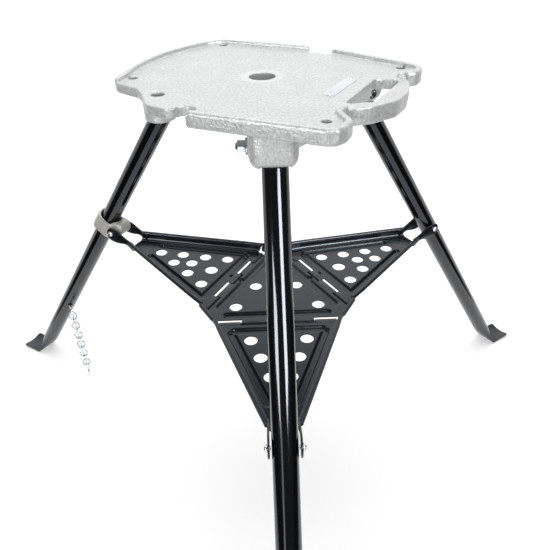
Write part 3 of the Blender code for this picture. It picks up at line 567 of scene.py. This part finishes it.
def seen_rays(tree):
    """One for rays from the camera and rays that show the surroundings in gloss or glass."""
    rays = add(tree, "LightPath")
    seen = rays.outputs["Is Camera Ray"]
    for kind in ("Is Glossy Ray", "Is Transmission Ray"):
        seen = add(tree, "Math", {0: seen, 1: rays.outputs[kind]}, operation="MAXIMUM")
    return rays, seen


class STAND_OT_stage(bpy.types.Operator):
    """Lays the pale floor, the soft lamps, the world and the camera"""

    bl_idname = "stand.stage"
    bl_label = "Stage"

    def execute(self, context):
        scene = context.scene
        scene.view_settings.view_transform = "Standard"
        self.floor()
        self.studio(scene)
        self.lamps()
        self.camera(scene)
        return {"FINISHED"}

    def floor(self):
        """A white paper floor that shows the stand's shadow and clears to white further off."""
        bm = bmesh.new()
        bmesh.ops.create_grid(bm, x_segments=1, y_segments=1, size=14.0)
        bmesh.ops.translate(bm, verts=bm.verts, vec=(0.0, 0.0, -0.0005))
        floor = placed("floor", to_mesh(bm))
        mat, tree, shader, place = new_material("matt_white_paper")
        tree.nodes.remove(shader)
        paper = add(tree, "BsdfDiffuse", {"Color": (0.86, 0.86, 0.86, 1.0)})
        rays, seen = seen_rays(tree)
        away = add(tree, "VectorMath", {0: place}, operation="LENGTH")
        lift = add(tree, "MapRange", {
            "Value": away, "From Min": 0.75, "From Max": 2.2, "To Min": 0.43, "To Max": 0.80},
            interpolation_type="SMOOTHSTEP")
        lift = add(tree, "Math", {0: seen, 1: lift}, operation="MULTIPLY")
        glow = add(tree, "Emission", {"Color": WHITE, "Strength": lift})
        both = add(tree, "AddShader", {0: paper, 1: glow})
        # Gloss shows a strip of lit paper that runs back from the stand, and dim ground beside it.
        spot = add(tree, "SeparateXYZ", {"Vector": place}).outputs
        beside = add(tree, "Math", {0: spot["X"], 1: 0.04}, operation="SUBTRACT")
        beside = add(tree, "Math", {0: beside}, operation="ABSOLUTE")
        strip = add(tree, "MapRange", {
            "Value": beside, "From Min": 0.72, "From Max": 0.80, "To Min": 1.35, "To Max": 0.03},
            interpolation_type="SMOOTHSTEP")
        behind = add(tree, "MapRange", {
            "Value": spot["Y"], "From Min": 0.40, "From Max": 0.62, "To Min": 0.03, "To Max": 1.10},
            interpolation_type="SMOOTHSTEP")
        # A bright edge of the paper runs off to the front left: a thin line low on the front leg.
        edge = add(tree, "Mapping", {
            "Vector": place, "Rotation": (0.0, 0.0, radians(116.8)),
            "Location": (-0.3257, -0.1981, 0.0)})
        edge = add(tree, "SeparateXYZ", {"Vector": edge}).outputs
        aside = add(tree, "Math", {0: edge["Y"]}, operation="ABSOLUTE")
        ahead = add(tree, "Math", {0: edge["X"], 1: 0.0001}, operation="MAXIMUM")
        aside = add(tree, "Math", {0: aside, 1: ahead}, operation="DIVIDE")
        line = add(tree, "MapRange", {
            "Value": aside, "From Min": 0.08, "From Max": 0.12, "To Min": 3.0, "To Max": 0.0})
        lit = strip
        for other in (behind, line):
            lit = add(tree, "Math", {0: lit, 1: other}, operation="MAXIMUM")
        mirrored = add(tree, "Emission", {"Color": WHITE, "Strength": lit})
        ground = add(tree, "MixShader", {0: rays.outputs["Is Glossy Ray"], 1: both, 2: mirrored})
        feed(tree.nodes["Material Output"], {"Surface": ground})
        floor.data.materials.append(mat)

    def studio(self, scene):
        """White room behind the stand and dim room in front for gloss; else an even soft light."""
        scene.world = bpy.data.worlds.new("white_studio")
        scene.world.use_nodes = True
        tree = scene.world.node_tree
        tree.nodes.clear()
        rays, seen = seen_rays(tree)
        way = add(tree, "SeparateXYZ", {"Vector": add(tree, "TexCoord").outputs["Generated"]})
        room = add(tree, "MapRange", {
            "Value": way.outputs["Y"], "From Min": 0.10, "From Max": 0.65, "To Min": 0.12,
            "To Max": 1.5}, interpolation_type="SMOOTHSTEP")
        room = add(tree, "Mix", {
            "Factor": rays.outputs["Is Camera Ray"], "A": room, "B": 1.0}, data_type="FLOAT")
        level = add(tree, "Mix", {"Factor": seen, "A": 0.46, "B": room}, data_type="FLOAT")
        sky = add(tree, "Background", {"Color": WHITE, "Strength": level})
        add(tree, "OutputWorld", {"Surface": sky})

    def lamps(self):
        """A broad overhead box, a soft front fill, and three boxes that only show in gloss."""
        aim = (0.026, -0.17, 0.43)
        # Each lamp: name, place, target, width, height, watts, lights matt, shows in gloss.
        lamps = (("overhead", (0.0, 0.6, 2.6), (0.0, 0.0, 0.4), 2.2, 2.0, 34.0, True, True),
                 ("front_fill", (-0.1, -2.6, 1.1), (0.0, 0.0, 0.6), 2.0, 1.6, 18.5, True, False),
                 ("left_box", (-1.21, -1.37, 1.07), aim, 0.78, 0.55, 27.0, False, True),
                 ("right_box", (1.0, -1.59, 1.5), aim, 0.82, 1.2, 75.0, False, True),
                 ("low_box", (-1.0, -2.1, 0.5), (0.03, -0.30, 0.15), 0.40, 1.0, 3.8, False, True))
        for name, spot, target, wide, high, power, lights, shines in lamps:
            lamp = bpy.data.lights.new(name, "AREA")
            lamp.shape = "RECTANGLE"
            lamp.size, lamp.size_y, lamp.energy = wide, high, power
            holder = placed(name, lamp)
            holder.visible_diffuse, holder.visible_glossy = lights, shines
            way = (Vector(target) - Vector(spot)).to_track_quat("-Z", "Y")
            holder.matrix_world = shift(*spot) @ way.to_matrix().to_4x4()

    def camera(self, scene):
        """The eye of the photograph: a little under a metre off, looking down on the plate."""
        eye = bpy.data.cameras.new("camera")
        focal_px, picture_px = 569.2, 550.0
        eye.sensor_width = 36.0
        eye.lens = eye.sensor_width * focal_px / picture_px
        eye.clip_end = 60.0
        camera = placed("camera", eye)
        turn, lift, roll = (radians(angle) for angle in (-0.80, 34.85, -1.62))
        far = 0.9829
        back = Vector((sin(turn) * cos(lift), -cos(turn) * cos(lift), sin(lift)))
        right = Vector((cos(turn), sin(turn), 0.0))
        up = back.cross(right)
        level = right * cos(roll) + up * sin(roll)
        above = up * cos(roll) - right * sin(roll)
        eye_frame = Matrix((level, above, back)).transposed().to_4x4()
        aim = AXIS @ Vector((-0.0009, 0.0457, TRAY_Z))
        camera.matrix_world = shift(*(aim + back * far)) @ eye_frame
        scene.camera = camera


class STAND_OT_finishes(bpy.types.Operator):
    """Gives every CAD node the finish of its slot, and the hinge pins the tray's enamel"""

    bl_idname = "stand.finishes"
    bl_label = "Finishes"

    def execute(self, context):
        for name, node in NODES.items():
            slot = "black_sheet" if name.startswith("tray_hinge_pin") else SLOT_OF[name]
            node.data.materials.clear()
            node.data.materials.append(finish_for(slot))
        return {"FINISHED"}


class STAND_OT_top_casting(bpy.types.Operator):
    """Makes the top plate's soft-edged painted casting"""

    bl_idname = "stand.top_casting"
    bl_label = "Top casting"

    def execute(self, context):
        looks = context.scene.stand_looks
        mesh = soft_casting("head_casting", looks.casting_grain, looks.casting_soften,
                            ("DECIMATE", {"decimate_type": "COLLAPSE", "ratio": 0.55}))
        put("top_casting", mesh, ["head_casting"])
        return {"FINISHED"}


class STAND_OT_label(bpy.types.Operator):
    """Rivets the bare label plate to the top plate, beside the handle"""

    bl_idname = "stand.label"
    bl_label = "Label plate"

    def execute(self, context):
        thick = 0.0007
        rivet_r = 0.0021
        plate = to_mesh(block((-0.110, -0.030, -0.0001), (-0.0945, 0.046, thick), 0.004, 0.0002))
        rivet = [(0.0, thick / 2), (rivet_r, thick / 2), (rivet_r, thick), (0.0019, thick + 0.0005),
                 (0.0012, thick + 0.0009), (0.0, thick + 0.0010)]
        rivets = [to_mesh(turned(rivet, 16), place=shift(-0.1022, y, 0.0))
                  for y in (-0.0262, 0.0422)]
        place = spoke("left") @ shift(0.0, 0.0, PLATE_Z)
        put("label_plate", together([plate], 40.0, place), body="head", slot="silver_casting",
            finish="label")
        put("label_rivets", together(rivets, 50.0, place), body="head", slot="zinc_steel")
        return {"FINISHED"}


class STAND_OT_legs(bpy.types.Operator):
    """Draws the three tube legs, each pressed flat and turned out at the foot"""

    bl_idname = "stand.legs"
    bl_label = "Tube legs"

    def execute(self, context):
        for side in SIDES:
            foot = tan(radians(LEG_TILT[side])) * FLOOR_TO_PIVOT + FOOT_HOLE_OUT
            steps = [("DIFFERENCE", rods([(foot, 0.0, FOOT_HOLE_R)], -FLOOR_TO_PIVOT - 0.01,
                                         -FLOOR_TO_PIVOT + 0.010, 20))]
            if side == "left":
                steps.append(("DIFFERENCE", self.hook_hole()))
            mesh = shaped(to_mesh(self.skin(side)), steps)
            put(f"tube_leg_{side}", together([mesh], 40.0, pivot_frame(side)),
                [f"leg_tube_{side}"])
        return {"FINISHED"}

    def skin(self, side):
        """The leg's outer skin in its pivot frame."""
        tilt = radians(LEG_TILT[side])
        along = Vector((sin(tilt), 0.0, -cos(tilt)))
        out = Vector((cos(tilt), 0.0, sin(tilt)))
        length = FLOOR_TO_PIVOT / cos(tilt)
        level = Vector((along.x * length, 0.0, FOOT_HALF - FLOOR_TO_PIVOT))
        # Each row: place, which way its flat side faces, half width, half depth, squareness, dish.
        rows = [(*(along * (length - back)), *out, LEG_R * wide, LEG_R * deep, square, 0.0)
                for back, wide, deep, square in (
                    (0.110, 1.0, 1.0, 1.0), (0.085, 1.0, 1.0, 1.0), (0.060, 1.03, 0.95, 1.01),
                    (0.040, 1.12, 0.78, 1.04), (0.024, 1.28, 0.52, 1.09),
                    (0.011, 1.46, 0.28, 1.18))]
        for ahead, rise, facing, narrow, dish in (
                (-0.0010, 0.0009, (out + UP).normalized(), 0.0, 0.0010),
                (0.006, 0.0, UP, 0.0, 0.0018), (0.020, 0.0, UP, 0.0, 0.0030),
                (0.040, 0.0, UP, 0.0, 0.0040), (0.0445, 0.0, UP, 0.0012, 0.0042),
                (FOOT_LENGTH, 0.0, UP, 0.0040, 0.0042)):
            rows.append((*(level + Vector((ahead, 0.0, rise))), *facing, FOOT_HALF_WIDTH - narrow,
                         FOOT_HALF, 1.25, dish))
        sections = [self.ring((*(along * -LEG_TOP), *out, LEG_R, LEG_R, 1.0, 0.0))]
        sections += [self.ring(row) for row in smooth_rows(rows, 5)]
        return loft(sections, 44)

    def ring(self, row):
        """One section of the leg, from round to square, with its sides turned up by the dish."""
        centre = Vector(row[0:3])
        thick = Vector(row[3:6]).normalized()
        wide, deep, square, dish = row[6:10]

        def place(angle):
            across = max(-1.0, min(1.0, cos(angle) * square))
            through = max(-1.0, min(1.0, sin(angle) * square))
            return (centre + Vector((0.0, wide * across, 0.0)) + thick * (deep * through)
                    + UP * (dish * across ** 2))
        return place

    def hook_hole(self):
        """The hole that the chain's hook goes into, in the left leg's pivot frame."""
        swing = JOINTS["chain_swing"]
        home = pivot_frame("left").inverted()
        way = home.to_3x3() @ Vector(swing["axis"]).normalized()
        start = home @ Vector(swing["pos_m"]) + UP * HOOK_DROP - way * CHAIN_STAND
        bm = rods([(0.0, 0.0, HOOK_HOLE_R)], -0.006, 0.02, 24)
        turn = way.to_track_quat("Z", "Y").to_matrix().to_4x4()
        bmesh.ops.transform(bm, matrix=shift(*start) @ turn, verts=bm.verts)
        return bm


def eased_ring(inside, outside, low, high):
    """A ring's section, as (radius, height) points, with its outer rims turned off."""
    ease = 0.0004
    return [(inside, low), (outside - ease, low), (outside, low + ease), (outside, high - ease),
            (outside - ease, high), (inside, high)]


def hexagon(high, bore=None):
    """A hexagon nut or bolt head on z = 0, its corners turned off."""
    flat = NUT_R * 0.84
    full = NUT_R * 1.02
    ease = 0.0014
    steps = [("INTERSECT", turned([(0.0, 0.0), (flat, 0.0), (full, ease), (full, high - ease),
                                   (flat, high), (0.0, high)], 48))]
    if bore:
        steps.append(("DIFFERENCE", rods([(0.0, 0.0, bore)], -0.01, high + 0.01, 24)))
    return shaped(to_mesh(rods([(0.0, 0.0, NUT_R)], 0.0, high, 6)), steps)


class STAND_OT_pivots(bpy.types.Operator):
    """Fits the bolts, washers and nuts of the legs' top pivots"""

    bl_idname = "stand.pivots"
    bl_label = "Leg pivots"

    def execute(self, context):
        seat = BOSS_HALF + GAP
        end = seat + WASHER_THICK + NUT_HIGH + THREAD_PAST
        pitch = 0.0015
        thread = []
        for k in range(10):
            thread.append((PIVOT_BOLT_R - 0.0006, -end + 0.0008 + k * pitch))
            thread.append((PIVOT_BOLT_R, -end + 0.0008 + (k + 0.5) * pitch))
        shank = turned([(0.0, -end), (PIVOT_BOLT_R - 0.0012, -end)] + thread
                       + [(PIVOT_BOLT_R, HEAD_SEAT + 0.001), (0.0, HEAD_SEAT + 0.001)], 28)
        head = hexagon(HEAD_HIGH)
        head.transform(shift(0.0, 0.0, HEAD_SEAT))
        bore = PIVOT_BOLT_R + GAP
        washer = to_mesh(turned(eased_ring(bore, WASHER_R, 0.0, WASHER_THICK), 40, closed=True))
        washer.transform(shift(0.0, 0.0, -seat - WASHER_THICK))
        nut = hexagon(NUT_HIGH, bore)
        nut.transform(shift(0.0, 0.0, -seat - WASHER_THICK - GAP - NUT_HIGH))
        meshes = {"bolt": together([to_mesh(shank), head]), "washer": washer, "nut": nut}
        # The turned shapes stand on z, and the pivot runs along the leg frame's y.
        lay = rotation(-90, "X") @ rotation(12, "Z")
        for side in SIDES:
            for kind, mesh in meshes.items():
                put(f"pivot_{kind}_{side}", together([mesh], 35.0, pivot_frame(side) @ lay),
                    [f"leg_pivot_{kind}_{side}"])
        return {"FINISHED"}


def groove_at(spot, runs, looks):
    """How deep a sheet is pressed at a spot, by its distance from the grooves' middle lines."""
    deepest = 0.0
    for start, end in runs:
        along = end - start
        share = max(0.0, min(1.0, (spot - start).dot(along) / along.length_squared))
        away = (spot - start - along * share).length / looks.groove_half
        if away < 1.0:
            slope = max(0.0, min(1.0, (1.0 - away) / GROOVE_WALL))
            deepest = max(deepest, looks.groove_depth * slope * slope * (3 - 2 * slope))
    return deepest


def runs_of(lines):
    """Lines given in millimetres, as pairs of points."""
    return [(Vector((a, b)) / 1000, Vector((c, d)) / 1000) for a, b, c, d in lines]


def spots_of(places):
    """The tray's round holes from their places in millimetres."""
    return [(x / 1000, y / 1000, TRAY_HOLE_R) for x, y in places]


def knuckle(low, high, leaf_in, leaf_out):
    """A rolled hinge knuckle along y with the leaf that joins it to its sheet."""
    barrel = turned(eased_ring(HINGE_BORE_R, KNUCKLE_R, low, high), 28, closed=True)
    lay = shift(HINGE_U, 0.0, -KNUCKLE_R) @ rotation(-90, "X")
    sink = 0.00005
    leaf = block((leaf_in, low + KNUCKLE_GAP / 2, -SHEET - sink),
                 (leaf_out, high - KNUCKLE_GAP / 2, -sink), 0.0, 0.0002)
    return [to_mesh(barrel, place=lay), to_mesh(leaf)]


def punched(bm, holes):
    """A sheet given its thickness and its round holes."""
    mesh = with_modifiers(to_mesh(bm), [("SOLIDIFY", {"thickness": SHEET, "offset": -1.0})])
    return shaped(mesh, [("DIFFERENCE", rods(holes, -0.02, 0.02))])


class STAND_OT_panel(bpy.types.Operator):
    """Presses the tray's centre panel, with its grooves, corner lips and hinge knuckles"""

    bl_idname = "stand.panel"
    bl_label = "Tray centre panel"

    def execute(self, context):
        looks = context.scene.stand_looks
        bm = bmesh.new()
        # A fine grid, cut to the panel's three hinge edges and three corners.
        bmesh.ops.create_grid(bm, x_segments=170, y_segments=170, size=0.135)
        turns = [rotation(AZIMUTH[side], "Z") for side in SIDES]
        outward = Vector((1.0, 0.0, 0.0))
        for turn in turns:
            for way, reach in ((turn @ outward, PANEL_EDGE), (turn @ -outward, PANEL_CORNER)):
                bmesh.ops.bisect_plane(bm, geom=bm.verts[:] + bm.edges[:] + bm.faces[:],
                                       plane_co=way * reach, plane_no=way, clear_outer=True)
        runs = runs_of([(61, -79.5, 61, 79.5), (61, 0, 66, 0)])
        backs = [turn.to_3x3().inverted() for turn in turns]
        for vert in bm.verts:
            vert.co.z -= max(groove_at((back @ vert.co).to_2d(), runs, looks) for back in backs)
        holes = spots_of([(34, 15), (-34, 15), (66, -40), (-66, -40)])
        shells = [punched(bm, holes)]
        for turn in turns:
            for sign in (-1, 1):
                low, high = sorted((sign * KNUCKLE_MIDDLE, sign * KNUCKLE_SPLIT))
                for shell in knuckle(low, high, PANEL_EDGE - 0.001, HINGE_U):
                    shell.transform(turn)
                    shells.append(shell)
            shells += self.lip(turn @ rotation(180, "Z"), looks.flange_curl)
        place = AXIS @ shift(0.0, 0.0, TRAY_Z)
        put("tray_panel", together(shells, 42.0, place), ["tray_centre_panel"])
        return {"FINISHED"}

    def lip(self, turn, roll):
        """A corner's turned-up lip with its rolled top."""
        thick = 0.0020
        ease = 0.0008
        bm = block((-PANEL_CORNER_HALF, -SHEET - 0.0002, 0.0),
                   (PANEL_CORNER_HALF, PANEL_LIP, thick), 0.0042, 0.0006)
        stand = Matrix(((0, 0, 1, PANEL_CORNER - 0.0014), (1, 0, 0, 0), (0, 1, 0, 0), (0, 0, 0, 1)))
        far = PANEL_CORNER_HALF - 0.0015
        bead = turned([(0.0, -far), (roll - ease, -far), (roll, ease - far), (roll, far - ease),
                       (roll - ease, far), (0.0, far)], 24)
        lay = shift(PANEL_CORNER + roll - ease, 0.0, PANEL_LIP) @ rotation(90, "X")
        return [to_mesh(bm, place=turn @ stand), to_mesh(bead, place=turn @ lay)]


class STAND_OT_wings(bpy.types.Operator):
    """Presses the tray's three wings, with rolled flanges, grooves, holes, ears and knuckles"""

    bl_idname = "stand.wings"
    bl_label = "Tray wings"

    def execute(self, context):
        looks = context.scene.stand_looks
        holes = spots_of([(237, 0), (199, 14), (199, -14), (160, 27.7), (160, -27.7), (122, 41.7),
                          (122, -41.7), (170.5, 0)])
        shells = [punched(self.sheet(looks), holes + [TRAY_HOLE_BIG])]
        middle = KNUCKLE_MIDDLE - KNUCKLE_GAP
        split = KNUCKLE_SPLIT + KNUCKLE_GAP
        for low, high in ((-middle, middle), (split, KNUCKLE_END), (-KNUCKLE_END, -split)):
            shells += knuckle(low, high, HINGE_U, WING_IN + 0.001)
        shells += [self.ear(sign) for sign in (-1, 1)]
        for side in SIDES:
            put(f"wing_{side}", together(shells, 42.0, wing_frame(side)), [f"tray_wing_{side}"])
        return {"FINISHED"}

    def sheet(self, looks):
        """The wing's sheet as one surface: floor, bend, wall and rolled edge on both sides."""
        floor_cells = 140
        bends = [k / 5 * looks.flange_bend * pi / 2 for k in range(1, 6)]
        walls = [bends[-1] + looks.flange_rise * k / 2 for k in (1, 2)]
        roll = looks.flange_curl * radians(285)
        curls = [walls[-1] + roll * k / 14 for k in range(1, 15)]
        edge = bends + walls + curls
        across = floor_cells + 2 * len(edge)
        bm = bmesh.new()
        bmesh.ops.create_grid(bm, x_segments=across, y_segments=200, size=1.0)
        runs = runs_of([(100, -66, 100, 66), (106, -70.8, 246, -19.4), (106, 70.8, 246, 19.4),
                        (91, 0, 100, 0)])
        end = WING_END + 0.004
        slope = (WING_HALF - WING_HALF_END) / (WING_END - WING_IN)
        for vert in bm.verts:
            number = round((vert.co.x + 1) / 2 * across) - across // 2
            share = (vert.co.y + 1) / 2
            u = WING_IN + (end - WING_IN) * share
            half = WING_HALF - slope * (u - WING_IN) - FLANGE_HALF - looks.flange_bend
            sign = copysign(1.0, number)
            past = abs(number) - floor_cells // 2
            if past > 0:
                # The turned-up edge starts a little further in than the floor.
                u -= 0.0034 * min(1.0, past / 5) * max(0.0, 1 - share * 8)
                out, up = self.rolled(edge[past - 1], looks)
                vert.co = (u, sign * (half + out), up)
            else:
                v = half * number / (floor_cells / 2)
                vert.co = (u, v, -groove_at(Vector((u, v)), runs, looks))
        bmesh.ops.recalc_face_normals(bm, faces=bm.faces)
        if sum(face.normal.z for face in bm.faces) < 0:
            bmesh.ops.reverse_faces(bm, faces=bm.faces)
        return bm

    def rolled(self, run, looks):
        """How far out and up the sheet is past its floor: a bend up, a wall and a roll outwards."""
        bend, rise, curl = looks.flange_bend, looks.flange_rise, looks.flange_curl
        quarter = bend * pi / 2
        if run <= quarter:
            turn = run / bend
            return bend * sin(turn), bend * (1 - cos(turn))
        if run <= quarter + rise:
            return bend, bend + run - quarter
        turn = (run - quarter - rise) / curl
        return bend + curl * (1 - cos(turn)), bend + rise + curl * sin(turn)

    def ear(self, sign):
        """One of the two lugs that straddle the leg."""
        root = WING_END - 0.006
        outline = [(root, -0.0020), (root, 0.0130)] + [(EAR_U + out, EAR_UP + up) for out, up in (
            (-0.038, -0.004), (-0.016, 0.008), (0.004, 0.011), (0.011, 0.0), (0.006, -0.015),
            (-0.012, -0.017), (-0.034, -0.0125))] + [(root + 0.004, -0.0020)]
        bm = bmesh.new()
        face = bm.faces.new([bm.verts.new((u, -EAR_HALF, z)) for u, z in outline])
        far, _ = new_ring(bmesh.ops.extrude_face_region(bm, geom=[face])["geom"])
        bmesh.ops.translate(bm, verts=far, vec=(0.0, 2 * EAR_HALF, 0.0))
        eased(bm, [e for e in bm.edges if abs(e.verts[0].co.y - e.verts[1].co.y) > EAR_HALF
                   and e.verts[0].co.x > root + 0.008], 0.0060, 6)
        eased(bm, [e for e in bm.edges if abs(e.verts[0].co.y - e.verts[1].co.y) < 0.00001
                   and len(e.link_faces) == 2 and e.calc_face_angle(0.0) > 1.2], 0.0006, 2)
        bmesh.ops.recalc_face_normals(bm, faces=bm.faces)
        bore = rods([(0.0, 0.0, EAR_BOLT_R + GAP)], -0.01, 0.01, 28)
        stand = shift(EAR_U, 0.0, EAR_UP) @ rotation(90, "X")
        bmesh.ops.transform(bore, matrix=stand, verts=bore.verts)
        mesh = shaped(to_mesh(bm), [("DIFFERENCE", bore)])
        mesh.transform(shift(0.0, sign * EAR_MIDDLE, 0.0))
        return mesh


class STAND_OT_screws(bpy.types.Operator):
    """Fits the domed socket screws in the wings' ears"""

    bl_idname = "stand.screws"
    bl_label = "Ear screws"

    def execute(self, context):
        seat = EAR_MIDDLE + EAR_HALF + GAP
        for side in SIDES:
            tip = COLLAR_FLAT + GAP if side == "left" else LEG_R + 2 * GAP
            mesh = self.screw(seat - tip)
            for sign, label in ((-1, "a"), (1, "b")):
                place = (wing_frame(side) @ shift(EAR_U, sign * seat, EAR_UP)
                         @ rotation(-90 * sign, "X"))
                put(f"ear_screw_{side}_{label}", together([mesh], 40.0, place),
                    [f"tray_screw_{side}_{label}"])
        return {"FINISHED"}

    def screw(self, stem):
        """A round domed head with a hexagon socket, on a short stem."""
        ease = 0.0004
        rim = 0.0010
        line = [(0.0, -stem), (EAR_BOLT_R - ease, -stem), (EAR_BOLT_R, -stem + ease),
                (EAR_BOLT_R, 0.0), (SCREW_R - 0.0002, 0.0), (SCREW_R, 0.0002), (SCREW_R, rim)]
        for angle in (20, 40, 60, 75, 90):
            turn = radians(angle)
            line.append((SCREW_R * cos(turn), rim + (SCREW_HIGH - rim) * sin(turn)))
        socket = rods([(0.0, 0.0, 0.0023)], SCREW_HIGH - 0.0026, SCREW_HIGH + 0.002, 6)
        return shaped(to_mesh(turned(line, 40)), [("DIFFERENCE", socket)])


class STAND_OT_collar(bpy.types.Operator):
    """Makes the sliding collar's soft-edged casting"""

    bl_idname = "stand.collar"
    bl_label = "Sliding collar"

    def execute(self, context):
        mesh = soft_casting("slide_collar", context.scene.stand_looks.collar_grain, 24)
        put("collar", mesh, ["slide_collar"])
        return {"FINISHED"}


class STAND_OT_chain(bpy.types.Operator):
    """Hangs the chain: its hook in the leg, welded links and the S hook at its end"""

    bl_idname = "stand.chain"
    bl_label = "Chain"

    def execute(self, context):
        links = sorted(name for name in NODES if name.startswith("chain_link_"))
        swing = JOINTS["chain_swing"]
        self.bend = Vector(swing["pos_m"])
        self.way = Vector(swing["axis"]).normalized()
        beside = UP.cross(self.way)
        for number, node in enumerate(links):
            low, high = (Vector(corner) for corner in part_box(node))
            flat = beside if number % 2 == 0 else self.way
            turn = Matrix((flat, UP.cross(flat), UP)).transposed().to_4x4()
            place = shift(*(low + high) / 2) @ turn
            put(f"link_{number + 1:02d}", to_mesh(self.link(), place=place), [node])
        bend = HOOK_BEND_R
        line = [self.hang(out, up) for out, up in (
            (-0.0074, 0.0075), (-0.0076, 0.0042), (-0.0066, 0.0014), (-0.0042, 0.0),
            (CHAIN_STAND - 0.0030, 0.0))]
        for angle in (60, 25, -10, -50, -90, -130, -170):
            turn = radians(angle)
            line.append(self.hang(CHAIN_STAND + bend * cos(turn),
                                  bend - HOOK_DROP + bend * sin(turn)))
        put("leg_hook", bent_wire(line, HOOK_WIRE_R), ["chain_hook"])
        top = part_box("chain_end_hook")[1][2] - HOOK_WIRE_R
        across = beside if len(links) % 2 == 0 else self.way
        middle = self.bend.copy()
        line = []
        # Two open rings, one below the other, make the S.
        for drop, angles in ((1.0, range(200, -51, -50)), (2.9, range(130, 381, 50))):
            for angle in angles:
                turn = radians(angle)
                middle.z = top - drop * END_R + END_R * sin(turn)
                line.append(middle + across * (END_R * cos(turn)))
        put("end_hook", bent_wire(line, HOOK_WIRE_R), ["chain_end_hook"])
        return {"FINISHED"}

    def hang(self, out, up):
        """A point beside the leg: out from the tube's wall along the hook, and up."""
        return self.bend + self.way * (out - CHAIN_STAND) + UP * (up + HOOK_DROP)

    def link(self):
        """A welded link standing on z, wide along x."""
        wide = CHAIN_WIDE / 2 - CHAIN_WIRE_R
        straight = CHAIN_INSIDE / 2 + CHAIN_WIRE_R - wide
        bm = bmesh.new()
        bmesh.ops.create_circle(bm, segments=12, radius=CHAIN_WIRE_R,
                                matrix=shift(wide, 0.0, straight))
        ring = bm.verts[:] + bm.edges[:]
        for end in (1, -1):
            ring = bmesh.ops.spin(bm, geom=ring, cent=(0.0, 0.0, end * straight),
                                  axis=(0.0, 1.0, 0.0), angle=-pi, steps=12)["geom_last"]
            edges = [item for item in ring if isinstance(item, bmesh.types.BMEdge)]
            verts, edges = new_ring(bmesh.ops.extrude_edge_only(bm, edges=edges)["geom"])
            bmesh.ops.translate(bm, verts=verts, vec=(0.0, 0.0, -2 * end * straight))
            ring = verts + edges
        bmesh.ops.remove_doubles(bm, verts=bm.verts, dist=0.00001)
        bmesh.ops.recalc_face_normals(bm, faces=bm.faces)
        return bm


CLASSES = [
    StandLooks, STAND_OT_stage, STAND_OT_finishes, STAND_OT_top_casting, STAND_OT_label,
    STAND_OT_legs, STAND_OT_pivots, STAND_OT_panel, STAND_OT_wings, STAND_OT_screws,
    STAND_OT_collar, STAND_OT_chain]


class STAND_PT_panel(bpy.types.Panel):
    """Lists the stand's pieces in build order"""

    bl_label = "Tripod stand"
    bl_idname = "STAND_PT_panel"
    bl_space_type = "VIEW_3D"
    bl_region_type = "UI"
    bl_category = "Stand"

    def draw(self, context):
        for kind in CLASSES:
            if issubclass(kind, bpy.types.Operator):
                self.layout.operator(kind.bl_idname)


def register():
    """Registers the classes and the stand's settings."""
    for kind in CLASSES + [STAND_PT_panel]:
        bpy.utils.register_class(kind)
    bpy.types.Scene.stand_looks = bpy.props.PointerProperty(type=StandLooks)


def unregister():
    """Takes the classes and the settings away again."""
    del bpy.types.Scene.stand_looks
    for kind in reversed(CLASSES + [STAND_PT_panel]):
        bpy.utils.unregister_class(kind)


def main():
    """Builds the whole stand."""
    register()
    bpy.ops.stand.stage()
    bpy.ops.stand.finishes()
    bpy.ops.stand.top_casting()
    bpy.ops.stand.label()
    bpy.ops.stand.legs()
    bpy.ops.stand.pivots()
    bpy.ops.stand.panel()
    bpy.ops.stand.wings()
    bpy.ops.stand.screws()
    bpy.ops.stand.collar()
    bpy.ops.stand.chain()


if __name__ == "__main__":
    main()
